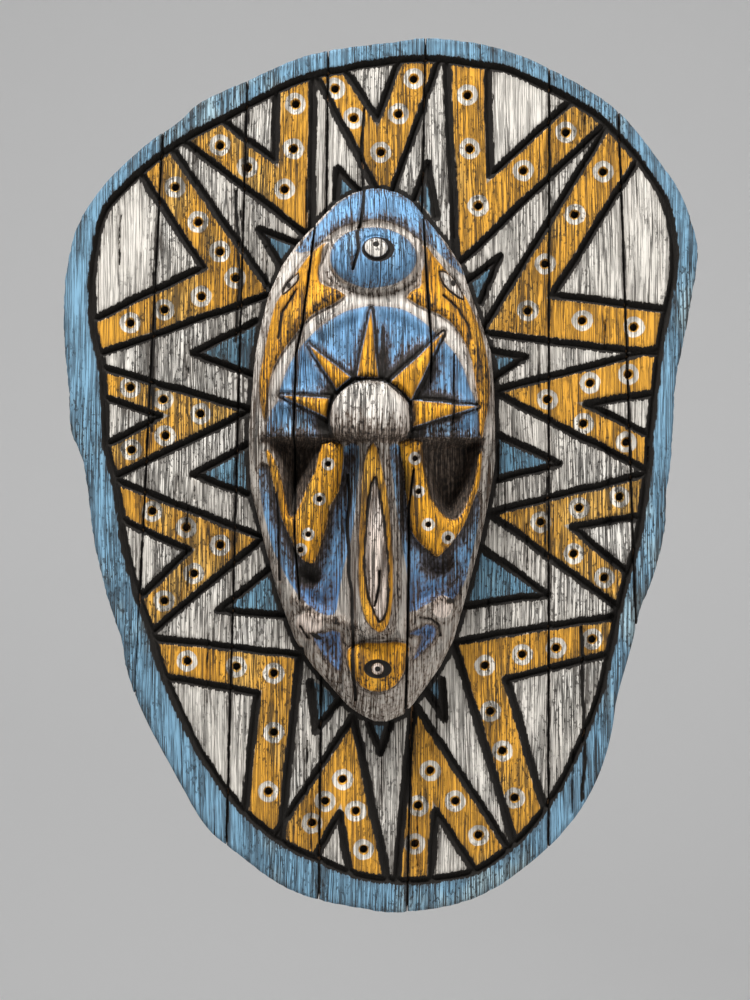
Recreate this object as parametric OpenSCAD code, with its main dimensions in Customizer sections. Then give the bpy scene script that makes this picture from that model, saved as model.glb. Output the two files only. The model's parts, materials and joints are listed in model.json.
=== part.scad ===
// Carved and painted folk-art mask on a planked wooden shield.
// The wall is the plane y = 0, the mask looks towards -Y, +Z is up.
// The origin is the point on the wall where the hook carries the hanging ring.

/* [Shield] */
// Thickness of the shield's planks
plank_t = 20; // [14:1:26]
// Gap left by each opened edge joint
joint_gap = 0.5; // [0.2:0.1:1]
// Width of the gouged channels
channel_w = 3.8; // [2.5:0.1:4.5]
// Depth of the gouged channels
channel_depth = 3; // [1.5:0.5:5]
// Radius of the drilled dots
dot_r = 1.6; // [1:0.1:2]
// Depth of the drilled dots
dot_depth = 3.5; // [2:0.5:6]

/* [Face] */
// How far the brow dome stands in front of the planks
face_rise = 45; // [38:1:46]
// Height of the face's upright edge
face_edge = 4; // [2:0.5:6]
// Gap between the laminated staves of the face
stave_gap = 0.5; // [0.2:0.1:1]
// Rows of facets up the face
face_rows = 54; // [30:2:60]

/* [Battens] */
// Thickness of a batten, which is also the gap to the wall
batten_t = 12; // [11:0.5:16]
// Height of a batten on the back
batten_h = 28; // [22:1:34]
// Height of the upper batten's middle on the shield
batten_upper_z = 80; // [70:1:84]
// Height of the lower batten's middle on the shield
batten_lower_z = -85; // [-95:1:-75]

/* [Hanger] */
// Radius of the hanging ring, to the middle of its wire
ring_r = 11; // [10:0.5:12]
// Radius of the ring's wire
wire_r = 1.5; // [1.2:0.1:1.6]
// Angle by which the stored ring leans against the back
ring_lean = 2.5; // [2:0.1:2.6]
// Thickness of the strap's folded sheet
strap_t = 1.6; // [1.2:0.1:1.8]
// Width of the strap
strap_w = 16; // [14:1:18]

/* [Hidden] */
$fn = 48;

eps = 0.01;
// The hanging point, measured from the middle of the shield.
hang = [-1, 150];
back_y = -batten_t;
front_y = back_y - plank_t;

// The shield's edge, clockwise from the top, as [x, z] from its middle.
shield_edge = [
    [6, 198], [20, 200], [42, 198], [58, 194], [73, 188], [92, 178], [109, 166], [125, 147],
    [137, 129], [144, 110], [145, 98], [142, 79], [138, 58], [135, 42], [133, 10], [131, -8],
    [130, -25], [125, -46], [119, -61], [115, -77], [108, -102], [106, -115], [102, -131],
    [94, -149], [82, -165], [70, -176], [54, -188], [36, -196], [11, -200], [-6, -199],
    [-30, -194], [-47, -187], [-66, -173], [-80, -161], [-93, -139], [-105, -117],
    [-112, -102], [-117, -87], [-119, -75], [-125, -57], [-130, -37], [-132, -26],
    [-134, -11], [-136, 5], [-139, 13], [-142, 21], [-143, 39], [-145, 62], [-145, 84],
    [-143, 99], [-139, 114], [-131, 127], [-120, 140], [-105, 153], [-92, 162], [-82, 171],
    [-60, 181], [-37, 191], [-14, 196]];

// Middle of the channel that parts the rim from the field, clockwise from the top.
rim_line = [
    [20, 191], [42, 188], [58, 185], [73, 178], [91, 169], [104, 159], [119, 142], [129, 126],
    [133, 110], [134, 94], [131, 79], [127, 58], [123, 21], [122, 5], [117, -30], [110, -54],
    [105, -78], [99, -102], [90, -125], [77, -149], [62, -167], [44, -180], [26, -184],
    [11, -185], [-9, -183], [-32, -174], [-52, -163], [-70, -145], [-86, -120], [-98, -94],
    [-106, -69], [-115, -40], [-120, -10], [-125, 13], [-127, 47], [-131, 65], [-132, 84],
    [-131, 98], [-126, 120], [-114, 134], [-99, 147], [-87, 155], [-71, 163], [-46, 177],
    [-27, 184], [-2, 189]];

// Each chevron: arm A's outer and inner end at the rim, the notch, arm B's inner and
// outer end at the rim, and the point towards the face.
chevrons = [
    [[-27, 181.5], [-18, 184], [-1.5, 158.5], [10.5, 189], [24.5, 189], [2, 126]],
    [[-87, 152.5], [-74, 160.5], [-46.5, 140], [-46, 174.5], [-33, 179.5], [-33.5, 111.5]],
    [[-96, 146], [-106.5, 136], [-78.5, 94], [-129.5, 70], [-128, 57.5], [-52, 84]],
    [[-126.5, 47], [-125, 37], [-96, 27], [-123, 13], [-119, 2.5], [-64, 29]],
    [[-120.5, -5], [-117, -19], [-84.5, -34], [-107.5, -56], [-103.5, -68], [-57, -29.5]],
    [[-102.5, -76.5], [-98, -90.5], [-54.5, -98], [-60.5, -154], [-47.5, -163], [-39, -84]],
    [[-46, -164], [-31, -173], [-18.5, -149.5], [-12.5, -180], [0.5, -181], [-13.5, -115]],
    [[9, -181], [21, -180.5], [23.5, -148.5], [43, -177.5], [55.5, -169.5], [16, -109]],
    [[107, -66.5], [105, -79.5], [55, -92], [72.5, -152], [61.5, -164], [35.5, -77.5]],
    [[118.5, -2], [119.5, -16.5], [83, -23], [111.5, -46.5], [108.5, -58.5], [53.5, -18]],
    [[125.5, 55.5], [123.5, 39], [89, 33], [122, 16.5], [121.5, 4], [56, 37.5]],
    [[103.5, 156], [115, 144], [75.5, 80.5], [129.5, 74], [127, 57], [48.5, 66.5]],
    [[32, 187.5], [47, 186], [48, 133], [88.5, 169.5], [100.5, 161], [36, 99.5]]];

// Each spike that rays out from behind the face: its tip and its two foot corners.
spikes = [
    [[-20, 141], [-18.5, 126], [-11.5, 128]], [[21.5, 143.5], [17.5, 125.5], [23.5, 118]],
    [[-56.5, 113], [-38, 103.5], [-44, 95.5]], [[-87, 55.5], [-56.5, 68.5], [-58, 47]],
    [[-87, 0], [-60.5, 12], [-60.5, -7]], [[-75, -62], [-49.5, -44.5], [-44.5, -62.5]],
    [[-30, -118], [-30.5, -94.5], [-20.5, -101.5]], [[-0.5, -127.5], [-3.5, -113], [2.5, -113]],
    [[29.5, -112.5], [22, -97], [26, -94]], [[77, -55], [44.5, -34.5], [38, -57.5]],
    [[82.5, 5], [52.5, 17], [52.5, -0.5]], [[67, 54], [49.5, 55], [50.5, 45.5]],
    [[55, 101], [39, 86], [44, 80]]];

// Drilled dots along the arms of each chevron, in the chevrons' order.
dots = [
    [-21, 176.5], [-12.5, 163], [0, 147.5], [8, 165], [15, 181],
    [-73.5, 150.5], [-61, 140.5], [-44, 130.5], [-40, 149], [-39, 169.5],
    [-94, 131.5], [-83.5, 115.5], [-73.5, 102], [-66.5, 90], [-82, 81.5], [-99, 75.5], [-114.5, 69.5],
    [-114.5, 40], [-99.5, 34.5], [-82.5, 28], [-98.5, 18], [-114, 11.5],
    [-104.5, -16.5], [-89, -24], [-73.5, -32], [-85.5, -45], [-99, -57.5],
    [-88.5, -85], [-66, -87.5], [-49, -90.5], [-49, -117.5], [-51.5, -144.5],
    [-17.5, -139], [-25.5, -149], [-31.5, -159], [-11.5, -153.5], [-8, -171],
    [22.5, -135], [17, -151], [15.5, -168.5], [34, -149], [44.5, -164.5],
    [47.5, -87], [64.5, -82], [80, -79], [96.5, -75], [50, -108], [55.5, -126], [61, -147.5],
    [73, -21.5], [90.5, -15], [109, -10], [88, -36], [102, -47],
    [76, 34.5], [95.5, 42], [113, 46], [92.5, 23.5], [112, 15],
    [101.5, 138.5], [88.5, 119], [75, 96.5], [67, 75], [92, 70.5], [115.5, 67.5],
    [39.5, 173.5], [40.5, 149], [44.5, 123], [65, 139], [84.5, 156.5]];

// The planks' edge joints, left to right: x at the height seam_z and at -seam_z.
seam_z = 200;
seams = [[-97.5, -117.5], [-60.5, -71.5], [-24, -28.5], [20.5, 12], [77, 76.5], [107.5, 121]];
plank_count = len(seams) + 1;
far = 160;

// The face's edge: [height, left x, right x], from the chin up.
face_edges = [
    [-112, -3, 3], [-109, -9, 10], [-105, -15, 14], [-97, -22, 20], [-87, -31, 27],
    [-75, -39, 33], [-54, -47, 39], [-31, -53, 45], [-7, -59, 50], [6, -60, 52], [21, -60, 52],
    [39, -58.5, 51.5], [56, -57, 50], [68, -54.5, 46], [82, -51, 41], [95, -45, 36.5],
    [105, -38, 30], [117, -27, 20], [124, -20, 14.5], [128, -13, 8.5], [130, -6, 1]];
// The joints between the face's three staves: [height, x].
stave_seam_left = [[-90, -34], [-52, -37], [-33, -38.5], [20, -39], [54, -38], [68, -35],
                   [92, -32], [120, -29]];
stave_seam_right = [[-112, 11], [-40, 12.5], [-15, 12.5], [16, 16], [36, 22], [60, 22.5],
                    [80, 21], [97, 20], [125, 19]];

// Screws: places on the back as [x, z] from the middle of the shield.
batten_upper_l = 250;
batten_lower_l = 180;
batten_upper_x = 1;
batten_lower_x = 5;
batten_screw_at = [
    for (x = [-116, -83, -46, -4, 46, 93, 119]) [x, batten_upper_z],
    for (x = [-77, -48, -8, 42, 86]) [x, batten_lower_z]];
face_screw_at = [[-46, 42], [-44, -32], [-4, 52], [-4, -50], [36, 42], [30, -42]];
screw_r = 2;
head_r = 3.8;
head_h = 2.4;
head_sink = 1;
screw_play = 0.05;
batten_screw_grip = 13;
face_screw_grip = 9;
hanger_screw_z = [-31, -42];
hanger_screw_r = 1.5;
hanger_head_r = 3.1;
hanger_head_h = 1.6;
hanger_screw_l = 12;

// The ring hangs in the strap's folded loop.
loop_r = wire_r + 0.6;
loop_outer_r = loop_r + strap_t / 2;
loop_half_w = strap_w / 6;
loop_y = back_y + loop_outer_r + 0.1;
loop_z = -(2 * ring_r - wire_r) * cos(ring_lean);
strap_bottom_z = loop_z - 28;

// ---- curves ----

// A point of the smooth closed curve through pts, a share t of the way from point i on.
function spline_at(pts, i, t) =
    let (n = len(pts), a = pts[(i + n - 1) % n], b = pts[i], c = pts[(i + 1) % n], d = pts[(i + 2) % n])
    (2 * b + (c - a) * t + (2 * a - 5 * b + 4 * c - d) * t * t
     + (3 * b - a - 3 * c + d) * t * t * t) / 2;

function smooth_loop(pts, steps) =
    [for (i = [0 : len(pts) - 1], k = [0 : steps - 1]) spline_at(pts, i, k / steps)];

function unit(v) = v / norm(v);
function turned(v) = [-v.y, v.x];

// The same loop moved sideways by d, outwards where d is positive.
function moved_loop(pts, d) =
    [for (i = [0 : len(pts) - 1])
        let (n = len(pts), along = unit(pts[(i + 1) % n] - pts[(i + n - 1) % n]))
        pts[i] + turned(along) * d];

// x of plank seam k at height z, measured from the middle of the shield.
function seam_x(k, z) =
    k < 0 ? -far : k >= len(seams) ? far :
    seams[k][1] + (seams[k][0] - seams[k][1]) * (z + seam_z) / (2 * seam_z);

// ---- relief of the face ----

function clamp01(t) = min(1, max(0, t));
function ease(t) = let (s = clamp01(t)) s * s * (3 - 2 * s);
// 1 at the middle of an elliptical mound, 0 at its edge.
function mound(x, z, cx, cz, rx, rz) =
    let (q = 1 - pow((x - cx) / rx, 2) - pow((z - cz) / rz, 2)) q > 0 ? sqrt(q) : 0;
// 1 on a ridge's line, falling smoothly to 0 at half width w.
function ridge(d, w) = abs(d) < w ? pow(cos(90 * d / w), 2) : 0;

function face_left(z) = lookup(z, [for (r = face_edges) [r[0], r[1]]]);
function face_right(z) = lookup(z, [for (r = face_edges) [r[0], r[2]]]);

face_mid = -4;
brow_z = 17;
// Height of the face's smooth dome along its middle line.
dome_rows = [[-112, 5], [-108, 11], [-98, 17], [-85, 20], [-60, 22], [-20, 24], [14, 26],
             [18, 31], [45, 30], [70, 26], [84, 22], [100, 21], [116, 17], [124, 13], [130, 6]];

function relief(x, z) =
    let (
        left = face_left(z), right = face_right(z),
        u = (2 * x - left - right) / (right - left),
        across = pow(max(0, 1 - u * u), 0.42),
        dome = face_edge + (lookup(z, dome_rows) - face_edge) * across,
        third_eye = 9 * mound(x, z, -3.5, 99, 22, 15),
        brow_dome = (face_rise - 31) * mound(x, z, -5, 24, 19, 21) * ease((z - brow_z) / 2 + 1),
        nose = 14 * ridge(x + 3, 12) * ease((z + 74) / 10) * ease((brow_z - z) / 3),
        below_brow = ease((brow_z - z) / 4),
        socket_left = 15 * mound(x, z, -43, 4, 15, 28) * below_brow,
        socket_right = 15 * mound(x, z, 34, 4, 16, 28) * below_brow,
        mouth = 8 * mound(x, z, -1, -88, 13.5, 12)
    )
    max(face_edge, dome + third_eye + brow_dome + nose + mouth - socket_left - socket_right);

// A stave of the face: a closed solid between two edges over a range of heights, with
// the relief in front and a flat back on the planks.
module stave(from_z, to_z, left_of, right_of, columns) {
    rows = face_rows;
    heights = [for (j = [0 : rows]) from_z + (to_z - from_z) * (1 - cos(180 * j / rows)) / 2];
    width = columns + 1;
    count = width * (rows + 1);
    at = [for (z = heights)
              let (l = left_of(z), r = max(right_of(z), left_of(z) + 0.5))
              for (i = [0 : columns]) [l + (r - l) * i / columns, z]];
    front = [for (p = at) [p.x, front_y - relief(p.x, p.y), p.y]];
    back = [for (p = at) [p.x, front_y, p.y]];
    function id(i, j) = j * width + i;
    polyhedron(
        points = concat(front, back),
        faces = concat(
            [for (j = [0 : rows - 1], i = [0 : columns - 1], h = [0, 1])
                h == 0 ? [id(i, j), id(i + 1, j + 1), id(i + 1, j)]
                       : [id(i, j), id(i, j + 1), id(i + 1, j + 1)]],
            [for (j = [0 : rows - 1], i = [0 : columns - 1])
                [count + id(i, j), count + id(i + 1, j), count + id(i + 1, j + 1), count + id(i, j + 1)]],
            [for (j = [0 : rows - 1])
                [id(0, j), count + id(0, j), count + id(0, j + 1), id(0, j + 1)]],
            [for (j = [0 : rows - 1])
                [id(columns, j + 1), count + id(columns, j + 1), count + id(columns, j), id(columns, j)]],
            [[for (i = [0 : columns]) id(i, 0), for (i = [columns : -1 : 0]) count + id(i, 0)]],
            [[for (i = [columns : -1 : 0]) id(i, rows), for (i = [0 : columns]) count + id(i, rows)]]));
}

// ---- helpers that place things ----

// Everything drawn from the middle of the shield is moved so that the hanging point is the origin.
module on_shield() translate([-hang.x, 0, -hang.y]) children();

// A flat shape drawn as x and z, given thickness from y = from_y forwards to y = to_y.
module slab(from_y, to_y) translate([0, from_y, 0]) rotate([90, 0, 0]) linear_extrude(from_y - to_y) children();

// A round bar or hole along the board's thickness.
module peg(at, r, from_y, to_y) translate([at.x, from_y, at.y]) rotate([90, 0, 0]) cylinder(r = r, h = from_y - to_y);

// One gouged channel from p to q, on the side away from the point inside.
module channel(p, q, inside) {
    along = unit(q - p);
    side = turned(along);
    away = (inside - p) * side > 0 ? -side : side;
    a = p - along * channel_w / 2;
    b = q + along * channel_w / 2;
    polygon([a, b, b + away * channel_w, a + away * channel_w]);
}

module chevron_channels(c) {
    channel(c[0], c[5], c[2]);
    channel(c[4], c[5], c[2]);
    channel(c[1], c[2], c[0]);
    channel(c[3], c[2], c[4]);
}

module spike_channels(s) {
    channel(s[1], s[0], s[2]);
    channel(s[2], s[0], s[1]);
}

module rim_channel() {
    line = smooth_loop(rim_line, 3);
    difference() {
        polygon(moved_loop(line, channel_w / 2));
        polygon(moved_loop(line, -channel_w / 2));
    }
}

function spans(pts, low, high) = min([for (p = pts) p.x]) - channel_w < high && max([for (p = pts) p.x]) + channel_w > low;

// ---- shield ----

// Plank k, counted from the left: the shield's outline between two seams, carved in front,
// drilled with dots, and bored from behind for its screws.
module plank(k) {
    low = min(seam_x(k - 1, seam_z), seam_x(k - 1, -seam_z));
    high = max(seam_x(k, seam_z), seam_x(k, -seam_z));
    on_shield() difference() {
        slab(back_y, front_y) intersection() {
            polygon(smooth_loop(shield_edge, 3));
            polygon([
                [seam_x(k - 1, -seam_z * 1.1) + joint_gap / 2, -seam_z * 1.1],
                [seam_x(k, -seam_z * 1.1) - joint_gap / 2, -seam_z * 1.1],
                [seam_x(k, seam_z * 1.1) - joint_gap / 2, seam_z * 1.1],
                [seam_x(k - 1, seam_z * 1.1) + joint_gap / 2, seam_z * 1.1]]);
        }
        slab(front_y + channel_depth, front_y - 1) union() {
            rim_channel();
            for (c = chevrons) if (spans(c, low, high)) chevron_channels(c);
            for (s = spikes) if (spans(s, low, high)) spike_channels(s);
        }
        for (d = dots) if (spans([d], low, high)) peg(d, dot_r, front_y + dot_depth, front_y - 1);
        for (s = batten_screw_at) if (spans([s], low, high))
            peg(s, screw_r + screw_play, back_y + 1, back_y - batten_screw_grip - 1);
        for (s = face_screw_at) if (spans([s], low, high))
            peg(s, screw_r + screw_play, back_y + 1, front_y - 1);
        if (k == 3) for (z = hanger_screw_z)
            peg([hang.x, hang.y + z], hanger_screw_r + screw_play, back_y + 1, back_y - hanger_screw_l);
    }
}

module shield_plank(k) color(k % 2 == 0 ? "#b9b2a8" : "#c9c3ba") plank(k - 1);

// ---- face ----

module face_bores() {
    for (s = face_screw_at) peg(s, screw_r + screw_play, front_y + 1, front_y - face_screw_grip - 0.5);
}

module face_stave_left() color("#5f95c8") on_shield() difference() {
    stave(-78, 112, function (z) face_left(z),
          function (z) lookup(z, stave_seam_left) - stave_gap / 2, 7);
    face_bores();
}

module face_stave_middle() color("#d69a2d") on_shield() difference() {
    stave(-112, 130,
          function (z) max(face_left(z), lookup(z, stave_seam_left) + stave_gap / 2),
          function (z) min(face_right(z), lookup(z, stave_seam_right) - stave_gap / 2), 18);
    face_bores();
}

module face_stave_right() color("#5f95c8") on_shield() difference() {
    stave(-106, 116, function (z) lookup(z, stave_seam_right) + stave_gap / 2,
          function (z) face_right(z), 9);
    face_bores();
}

// ---- back ----

module batten(x, z, length) color("#8a6a48") on_shield() difference() {
    slab(0, back_y) translate([x, z]) square([length, batten_h], center = true);
    for (s = batten_screw_at) if (s.y == z) {
        peg(s, screw_r + screw_play, 1, back_y - 1);
        peg(s, head_r + 0.3, 1, -head_sink - head_h);
    }
}
module batten_upper() batten(batten_upper_x, batten_upper_z, batten_upper_l);
module batten_lower() batten(batten_lower_x, batten_lower_z, batten_lower_l);

// A slotted wood screw seen from behind: head from y = top down, then its shank.
module wood_screw(at, top, r, cap_r, cap_h, length) {
    difference() {
        peg(at, cap_r, top, top - cap_h);
        translate([at.x, top, at.y]) cube([cap_r * 3, cap_h * 0.8, 0.9], center = true);
    }
    peg(at, r, top - cap_h, top - cap_h - length);
}

module batten_screws() color("silver") on_shield() for (s = batten_screw_at)
    wood_screw(s, -head_sink, screw_r, head_r, head_h, batten_t - head_sink - head_h + batten_screw_grip);

module face_screws() color("silver") on_shield() for (s = face_screw_at)
    wood_screw(s, back_y + head_h, screw_r, head_r, head_h, plank_t + face_screw_grip);

module hanger_strap() color("gold") difference() {
    union() {
        slab(back_y + strap_t, back_y) polygon([
            [-strap_w / 2, strap_bottom_z + 3], [-strap_w / 2 + 3, strap_bottom_z],
            [strap_w / 2 - 3, strap_bottom_z], [strap_w / 2, strap_bottom_z + 3],
            [strap_w / 2, loop_z - 6], [loop_half_w, loop_z - 1], [-loop_half_w, loop_z - 1],
            [-strap_w / 2, loop_z - 6]]);
        translate([-loop_half_w, loop_y, loop_z]) rotate([0, 90, 0])
            cylinder(r = loop_outer_r, h = 2 * loop_half_w);
    }
    translate([-strap_w, loop_y, loop_z]) rotate([0, 90, 0]) cylinder(r = loop_r, h = strap_w * 2);
    for (z = hanger_screw_z) peg([0, z], hanger_screw_r + screw_play, 0, back_y - 1);
}

module hanger_screws() color("silver") for (z = hanger_screw_z)
    wood_screw([0, z], back_y + strap_t + hanger_head_h, hanger_screw_r, hanger_head_r, hanger_head_h,
               hanger_screw_l - 1);

// The ring stands up from the loop, leaning by ring_lean towards the back of the shield.
module hanger_ring() color("gold")
    translate([0, loop_y, loop_z]) rotate([ring_lean, 0, 0]) translate([0, 0, ring_r]) rotate([90, 0, 0])
        rotate_extrude() translate([ring_r, 0]) circle(r = wire_r);

shield_plank(1);  // shield_plank_1
shield_plank(2);  // shield_plank_2
shield_plank(3);  // shield_plank_3
shield_plank(4);  // shield_plank_4
shield_plank(5);  // shield_plank_5
shield_plank(6);  // shield_plank_6
shield_plank(7);  // shield_plank_7
face_stave_left();
face_stave_middle();
face_stave_right();
batten_upper();
batten_lower();
batten_screws();
face_screws();
hanger_strap();
hanger_screws();
hanger_ring();
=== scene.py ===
# %% [markdown]
# A carved and painted wooden mask on a shield of planks, built as a lesson.
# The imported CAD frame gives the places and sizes: this script grows the carved,
# painted and weathered surfaces around it and never moves a CAD part.

import json
import math

import bpy
import numpy as np
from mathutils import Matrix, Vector

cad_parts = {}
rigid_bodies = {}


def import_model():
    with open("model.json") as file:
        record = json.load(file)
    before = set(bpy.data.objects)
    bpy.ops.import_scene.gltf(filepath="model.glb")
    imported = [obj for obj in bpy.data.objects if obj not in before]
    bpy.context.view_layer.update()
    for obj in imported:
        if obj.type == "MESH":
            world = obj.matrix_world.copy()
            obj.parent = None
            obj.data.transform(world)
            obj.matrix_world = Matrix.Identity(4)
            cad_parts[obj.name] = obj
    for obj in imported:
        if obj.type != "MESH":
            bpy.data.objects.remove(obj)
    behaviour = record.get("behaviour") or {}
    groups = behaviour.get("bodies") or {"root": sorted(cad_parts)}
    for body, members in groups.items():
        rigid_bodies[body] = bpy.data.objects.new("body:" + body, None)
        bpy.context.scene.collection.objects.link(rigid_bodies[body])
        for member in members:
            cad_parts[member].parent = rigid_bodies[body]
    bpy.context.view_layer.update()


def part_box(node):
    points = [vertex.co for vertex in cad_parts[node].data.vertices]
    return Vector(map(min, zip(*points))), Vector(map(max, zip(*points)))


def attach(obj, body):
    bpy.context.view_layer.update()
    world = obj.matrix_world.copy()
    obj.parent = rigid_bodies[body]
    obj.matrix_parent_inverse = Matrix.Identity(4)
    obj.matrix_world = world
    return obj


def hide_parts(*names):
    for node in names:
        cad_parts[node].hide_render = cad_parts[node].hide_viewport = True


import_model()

# %% [markdown]
# All the carving is drawn in millimetres from the middle of the shield, as on a full-size
# pattern: x to the right and z up, seen from the front. One number turns it into metres, and
# the shield's own box in the frame says where its middle is.

# %% The pattern's units and places
MM = 0.001
PLANKS = [f"shield_plank_{k}" for k in range(1, 8)]
STAVES = ["face_stave_left", "face_stave_middle", "face_stave_right"]
plank_boxes = [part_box(name) for name in PLANKS]
shield_low = [min(b[0][axis] for b in plank_boxes) for axis in range(3)]
shield_high = [max(b[1][axis] for b in plank_boxes) for axis in range(3)]
front_y, back_y = shield_low[1], shield_high[1]
plank_t = (back_y - front_y) / MM
grid_step = 0.55
face_step = 0.42
print("planks", round(plank_t, 2), "mm thick, front at y =", round(front_y, 4))

# %% [markdown]
# The outline, the channel inside the rim and the zigzag pattern are short lists of points,
# as a carver would prick them through a paper pattern. A smooth curve runs through the points
# of the outline and the rim, and straight gouge cuts join the corners of the zigzags.

# %% The shield's pattern
SHIELD_EDGE = [
    (6, 198), (20, 200), (42, 198), (58, 194), (73, 188), (92, 178), (109, 166), (125, 147),
    (137, 129), (144, 110), (145, 98), (142, 79), (138, 58), (135, 42), (133, 10), (131, -8),
    (130, -25), (125, -46), (119, -61), (115, -77), (108, -102), (106, -115), (102, -131),
    (94, -149), (82, -165), (70, -176), (54, -188), (36, -196), (11, -200), (-6, -199),
    (-30, -194), (-47, -187), (-66, -173), (-80, -161), (-93, -139), (-105, -117),
    (-112, -102), (-117, -87), (-119, -75), (-125, -57), (-130, -37), (-132, -26),
    (-134, -11), (-136, 5), (-139, 13), (-142, 21), (-143, 39), (-145, 62), (-145, 84),
    (-143, 99), (-139, 114), (-131, 127), (-120, 140), (-105, 153), (-92, 162), (-82, 171),
    (-60, 181), (-37, 191), (-14, 196)]
RIM_LINE = [
    (20, 190), (42, 187.6), (58, 185), (73, 178), (91, 169), (104, 159), (119, 142), (129, 126),
    (133, 110), (134, 94), (131, 79), (127, 58), (123, 21), (122, 5), (117, -30), (110, -54),
    (105, -78), (99, -102), (90, -125), (77, -149), (62, -167), (44, -180), (26, -184),
    (11, -185), (-9, -183), (-32, -174), (-52, -163), (-70, -145), (-86, -120), (-98, -94),
    (-106, -69), (-115, -40), (-120, -10), (-125, 13), (-127, 47), (-131, 65), (-132, 84),
    (-131, 98), (-126, 120), (-114, 134), (-99, 147), (-87, 155), (-71, 163), (-46, 176.3),
    (-27, 183), (-2, 188)]
# One arm's two ends at the rim, the notch, the other arm's two ends, and the point.
CHEVRONS = [
    [(-27, 181.5), (-18, 184), (-1.5, 158.5), (10.5, 189), (24.5, 189), (2, 126)],
    [(-87, 152.5), (-74, 160.5), (-46.5, 140), (-46, 174.5), (-33, 179.5), (-33.5, 111.5)],
    [(-96, 146), (-106.5, 136), (-78.5, 94), (-129.5, 70), (-128, 57.5), (-52, 84)],
    [(-126.5, 47), (-125, 37), (-96, 27), (-123, 13), (-119, 2.5), (-64, 29)],
    [(-120.5, -5), (-117, -19), (-84.5, -34), (-107.5, -56), (-103.5, -68), (-57, -29.5)],
    [(-102.5, -76.5), (-98, -90.5), (-54.5, -98), (-60.5, -154), (-47.5, -163), (-39, -84)],
    [(-46, -164), (-31, -173), (-18.5, -149.5), (-12.5, -180), (0.5, -181), (-13.5, -115)],
    [(9, -181), (21, -180.5), (23.5, -148.5), (43, -177.5), (55.5, -169.5), (16, -109)],
    [(107, -66.5), (105, -79.5), (55, -92), (72.5, -152), (61.5, -164), (35.5, -77.5)],
    [(118.5, -2), (119.5, -16.5), (83, -23), (111.5, -46.5), (108.5, -58.5), (53.5, -18)],
    [(125.5, 55.5), (123.5, 39), (89, 33), (122, 16.5), (121.5, 4), (56, 37.5)],
    [(103.5, 156), (115, 144), (75.5, 80.5), (129.5, 74), (127, 57), (48.5, 66.5)],
    [(32, 187.5), (47, 186), (48, 133), (88.5, 169.5), (100.5, 161), (36, 99.5)]]
# Each spike's tip and its two foot corners behind the face.
SPIKES = [
    [(-20, 141), (-18.5, 126), (-11.5, 128)], [(21.5, 143.5), (17.5, 125.5), (23.5, 118)],
    [(-56.5, 113), (-38, 103.5), (-44, 95.5)], [(-87, 55.5), (-56.5, 68.5), (-58, 47)],
    [(-87, 0), (-60.5, 12), (-60.5, -7)], [(-75, -62), (-49.5, -44.5), (-44.5, -62.5)],
    [(-30, -118), (-30.5, -94.5), (-20.5, -101.5)], [(-0.5, -127.5), (-3.5, -113), (2.5, -113)],
    [(29.5, -112.5), (22, -97), (26, -94)], [(77, -55), (44.5, -34.5), (38, -57.5)],
    [(82.5, 5), (52.5, 17), (52.5, -0.5)], [(67, 54), (49.5, 55), (50.5, 45.5)],
    [(55, 101), (39, 86), (44, 80)]]
DOTS = [
    (-21, 176.5), (-12.5, 163), (0, 147.5), (8, 165), (15, 181),
    (-73.5, 150.5), (-61, 140.5), (-44, 130.5), (-40, 149), (-39, 169.5),
    (-94, 131.5), (-83.5, 115.5), (-73.5, 102), (-66.5, 90), (-82, 81.5), (-99, 75.5),
    (-114.5, 69.5), (-114.5, 40), (-99.5, 34.5), (-82.5, 28), (-98.5, 18), (-114, 11.5),
    (-104.5, -16.5), (-89, -24), (-73.5, -32), (-85.5, -45), (-99, -57.5),
    (-88.5, -85), (-66, -87.5), (-49, -90.5), (-49, -117.5), (-51.5, -144.5),
    (-17.5, -139), (-25.5, -149), (-31.5, -159), (-11.5, -153.5), (-8, -171),
    (22.5, -135), (17, -151), (15.5, -168.5), (34, -149), (44.5, -164.5),
    (47.5, -87), (64.5, -82), (80, -79), (96.5, -75), (50, -108), (55.5, -126), (61, -147.5),
    (73, -21.5), (90.5, -15), (109, -10), (88, -36), (102, -47),
    (76, 34.5), (95.5, 42), (113, 46), (92.5, 23.5), (112, 15),
    (101.5, 138.5), (88.5, 119), (75, 96.5), (67, 75), (92, 70.5), (115.5, 67.5),
    (39.5, 173.5), (40.5, 149), (44.5, 123), (65, 139), (84.5, 156.5)]
# The planks' joints, left to right: x at z = SEAM_Z and at z = -SEAM_Z.
SEAM_Z = 200
SEAMS = [(-97.5, -117.5), (-60.5, -71.5), (-24, -28.5), (20.5, 12), (77, 76.5), (107.5, 121)]
JOINT_GAP = 0.5
CHANNEL_W = 3.8
CHANNEL_DEPTH = 2.9
EDGE_ROUND = 2.2
# Behind the front the joints close to this gap, and the paint runs this far down the sides.
CLOSED_GAP = 0.02
PAINTED_SIDE = 4.5
print(len(CHEVRONS), "chevrons,", len(SPIKES), "spikes and", len(DOTS), "dots")

# %% [markdown]
# Distances do most of the work here. If every vertex knows how far it is from the nearest
# painted edge, cut or joint, the carving's depth and the paint's colour both follow from
# plain formulas, and the paint always sits exactly in the carving.

# %% Distances on the pattern


def smooth_loop(points, steps=4):
    """A closed Catmull-Rom curve: between points b and c it is the cubic through a, b, c, d."""
    b = np.asarray(points, float)
    a, c, d = np.roll(b, 1, 0), np.roll(b, -1, 0), np.roll(b, -2, 0)
    t = (np.arange(steps) / steps)[None, :, None]
    a, b, c, d = (p[:, None, :] for p in (a, b, c, d))
    curve = (2 * b + (c - a) * t + (2 * a - 5 * b + 4 * c - d) * t**2
             + (3 * b - a - 3 * c + d) * t**3) / 2
    return curve.reshape(-1, 2)


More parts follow.
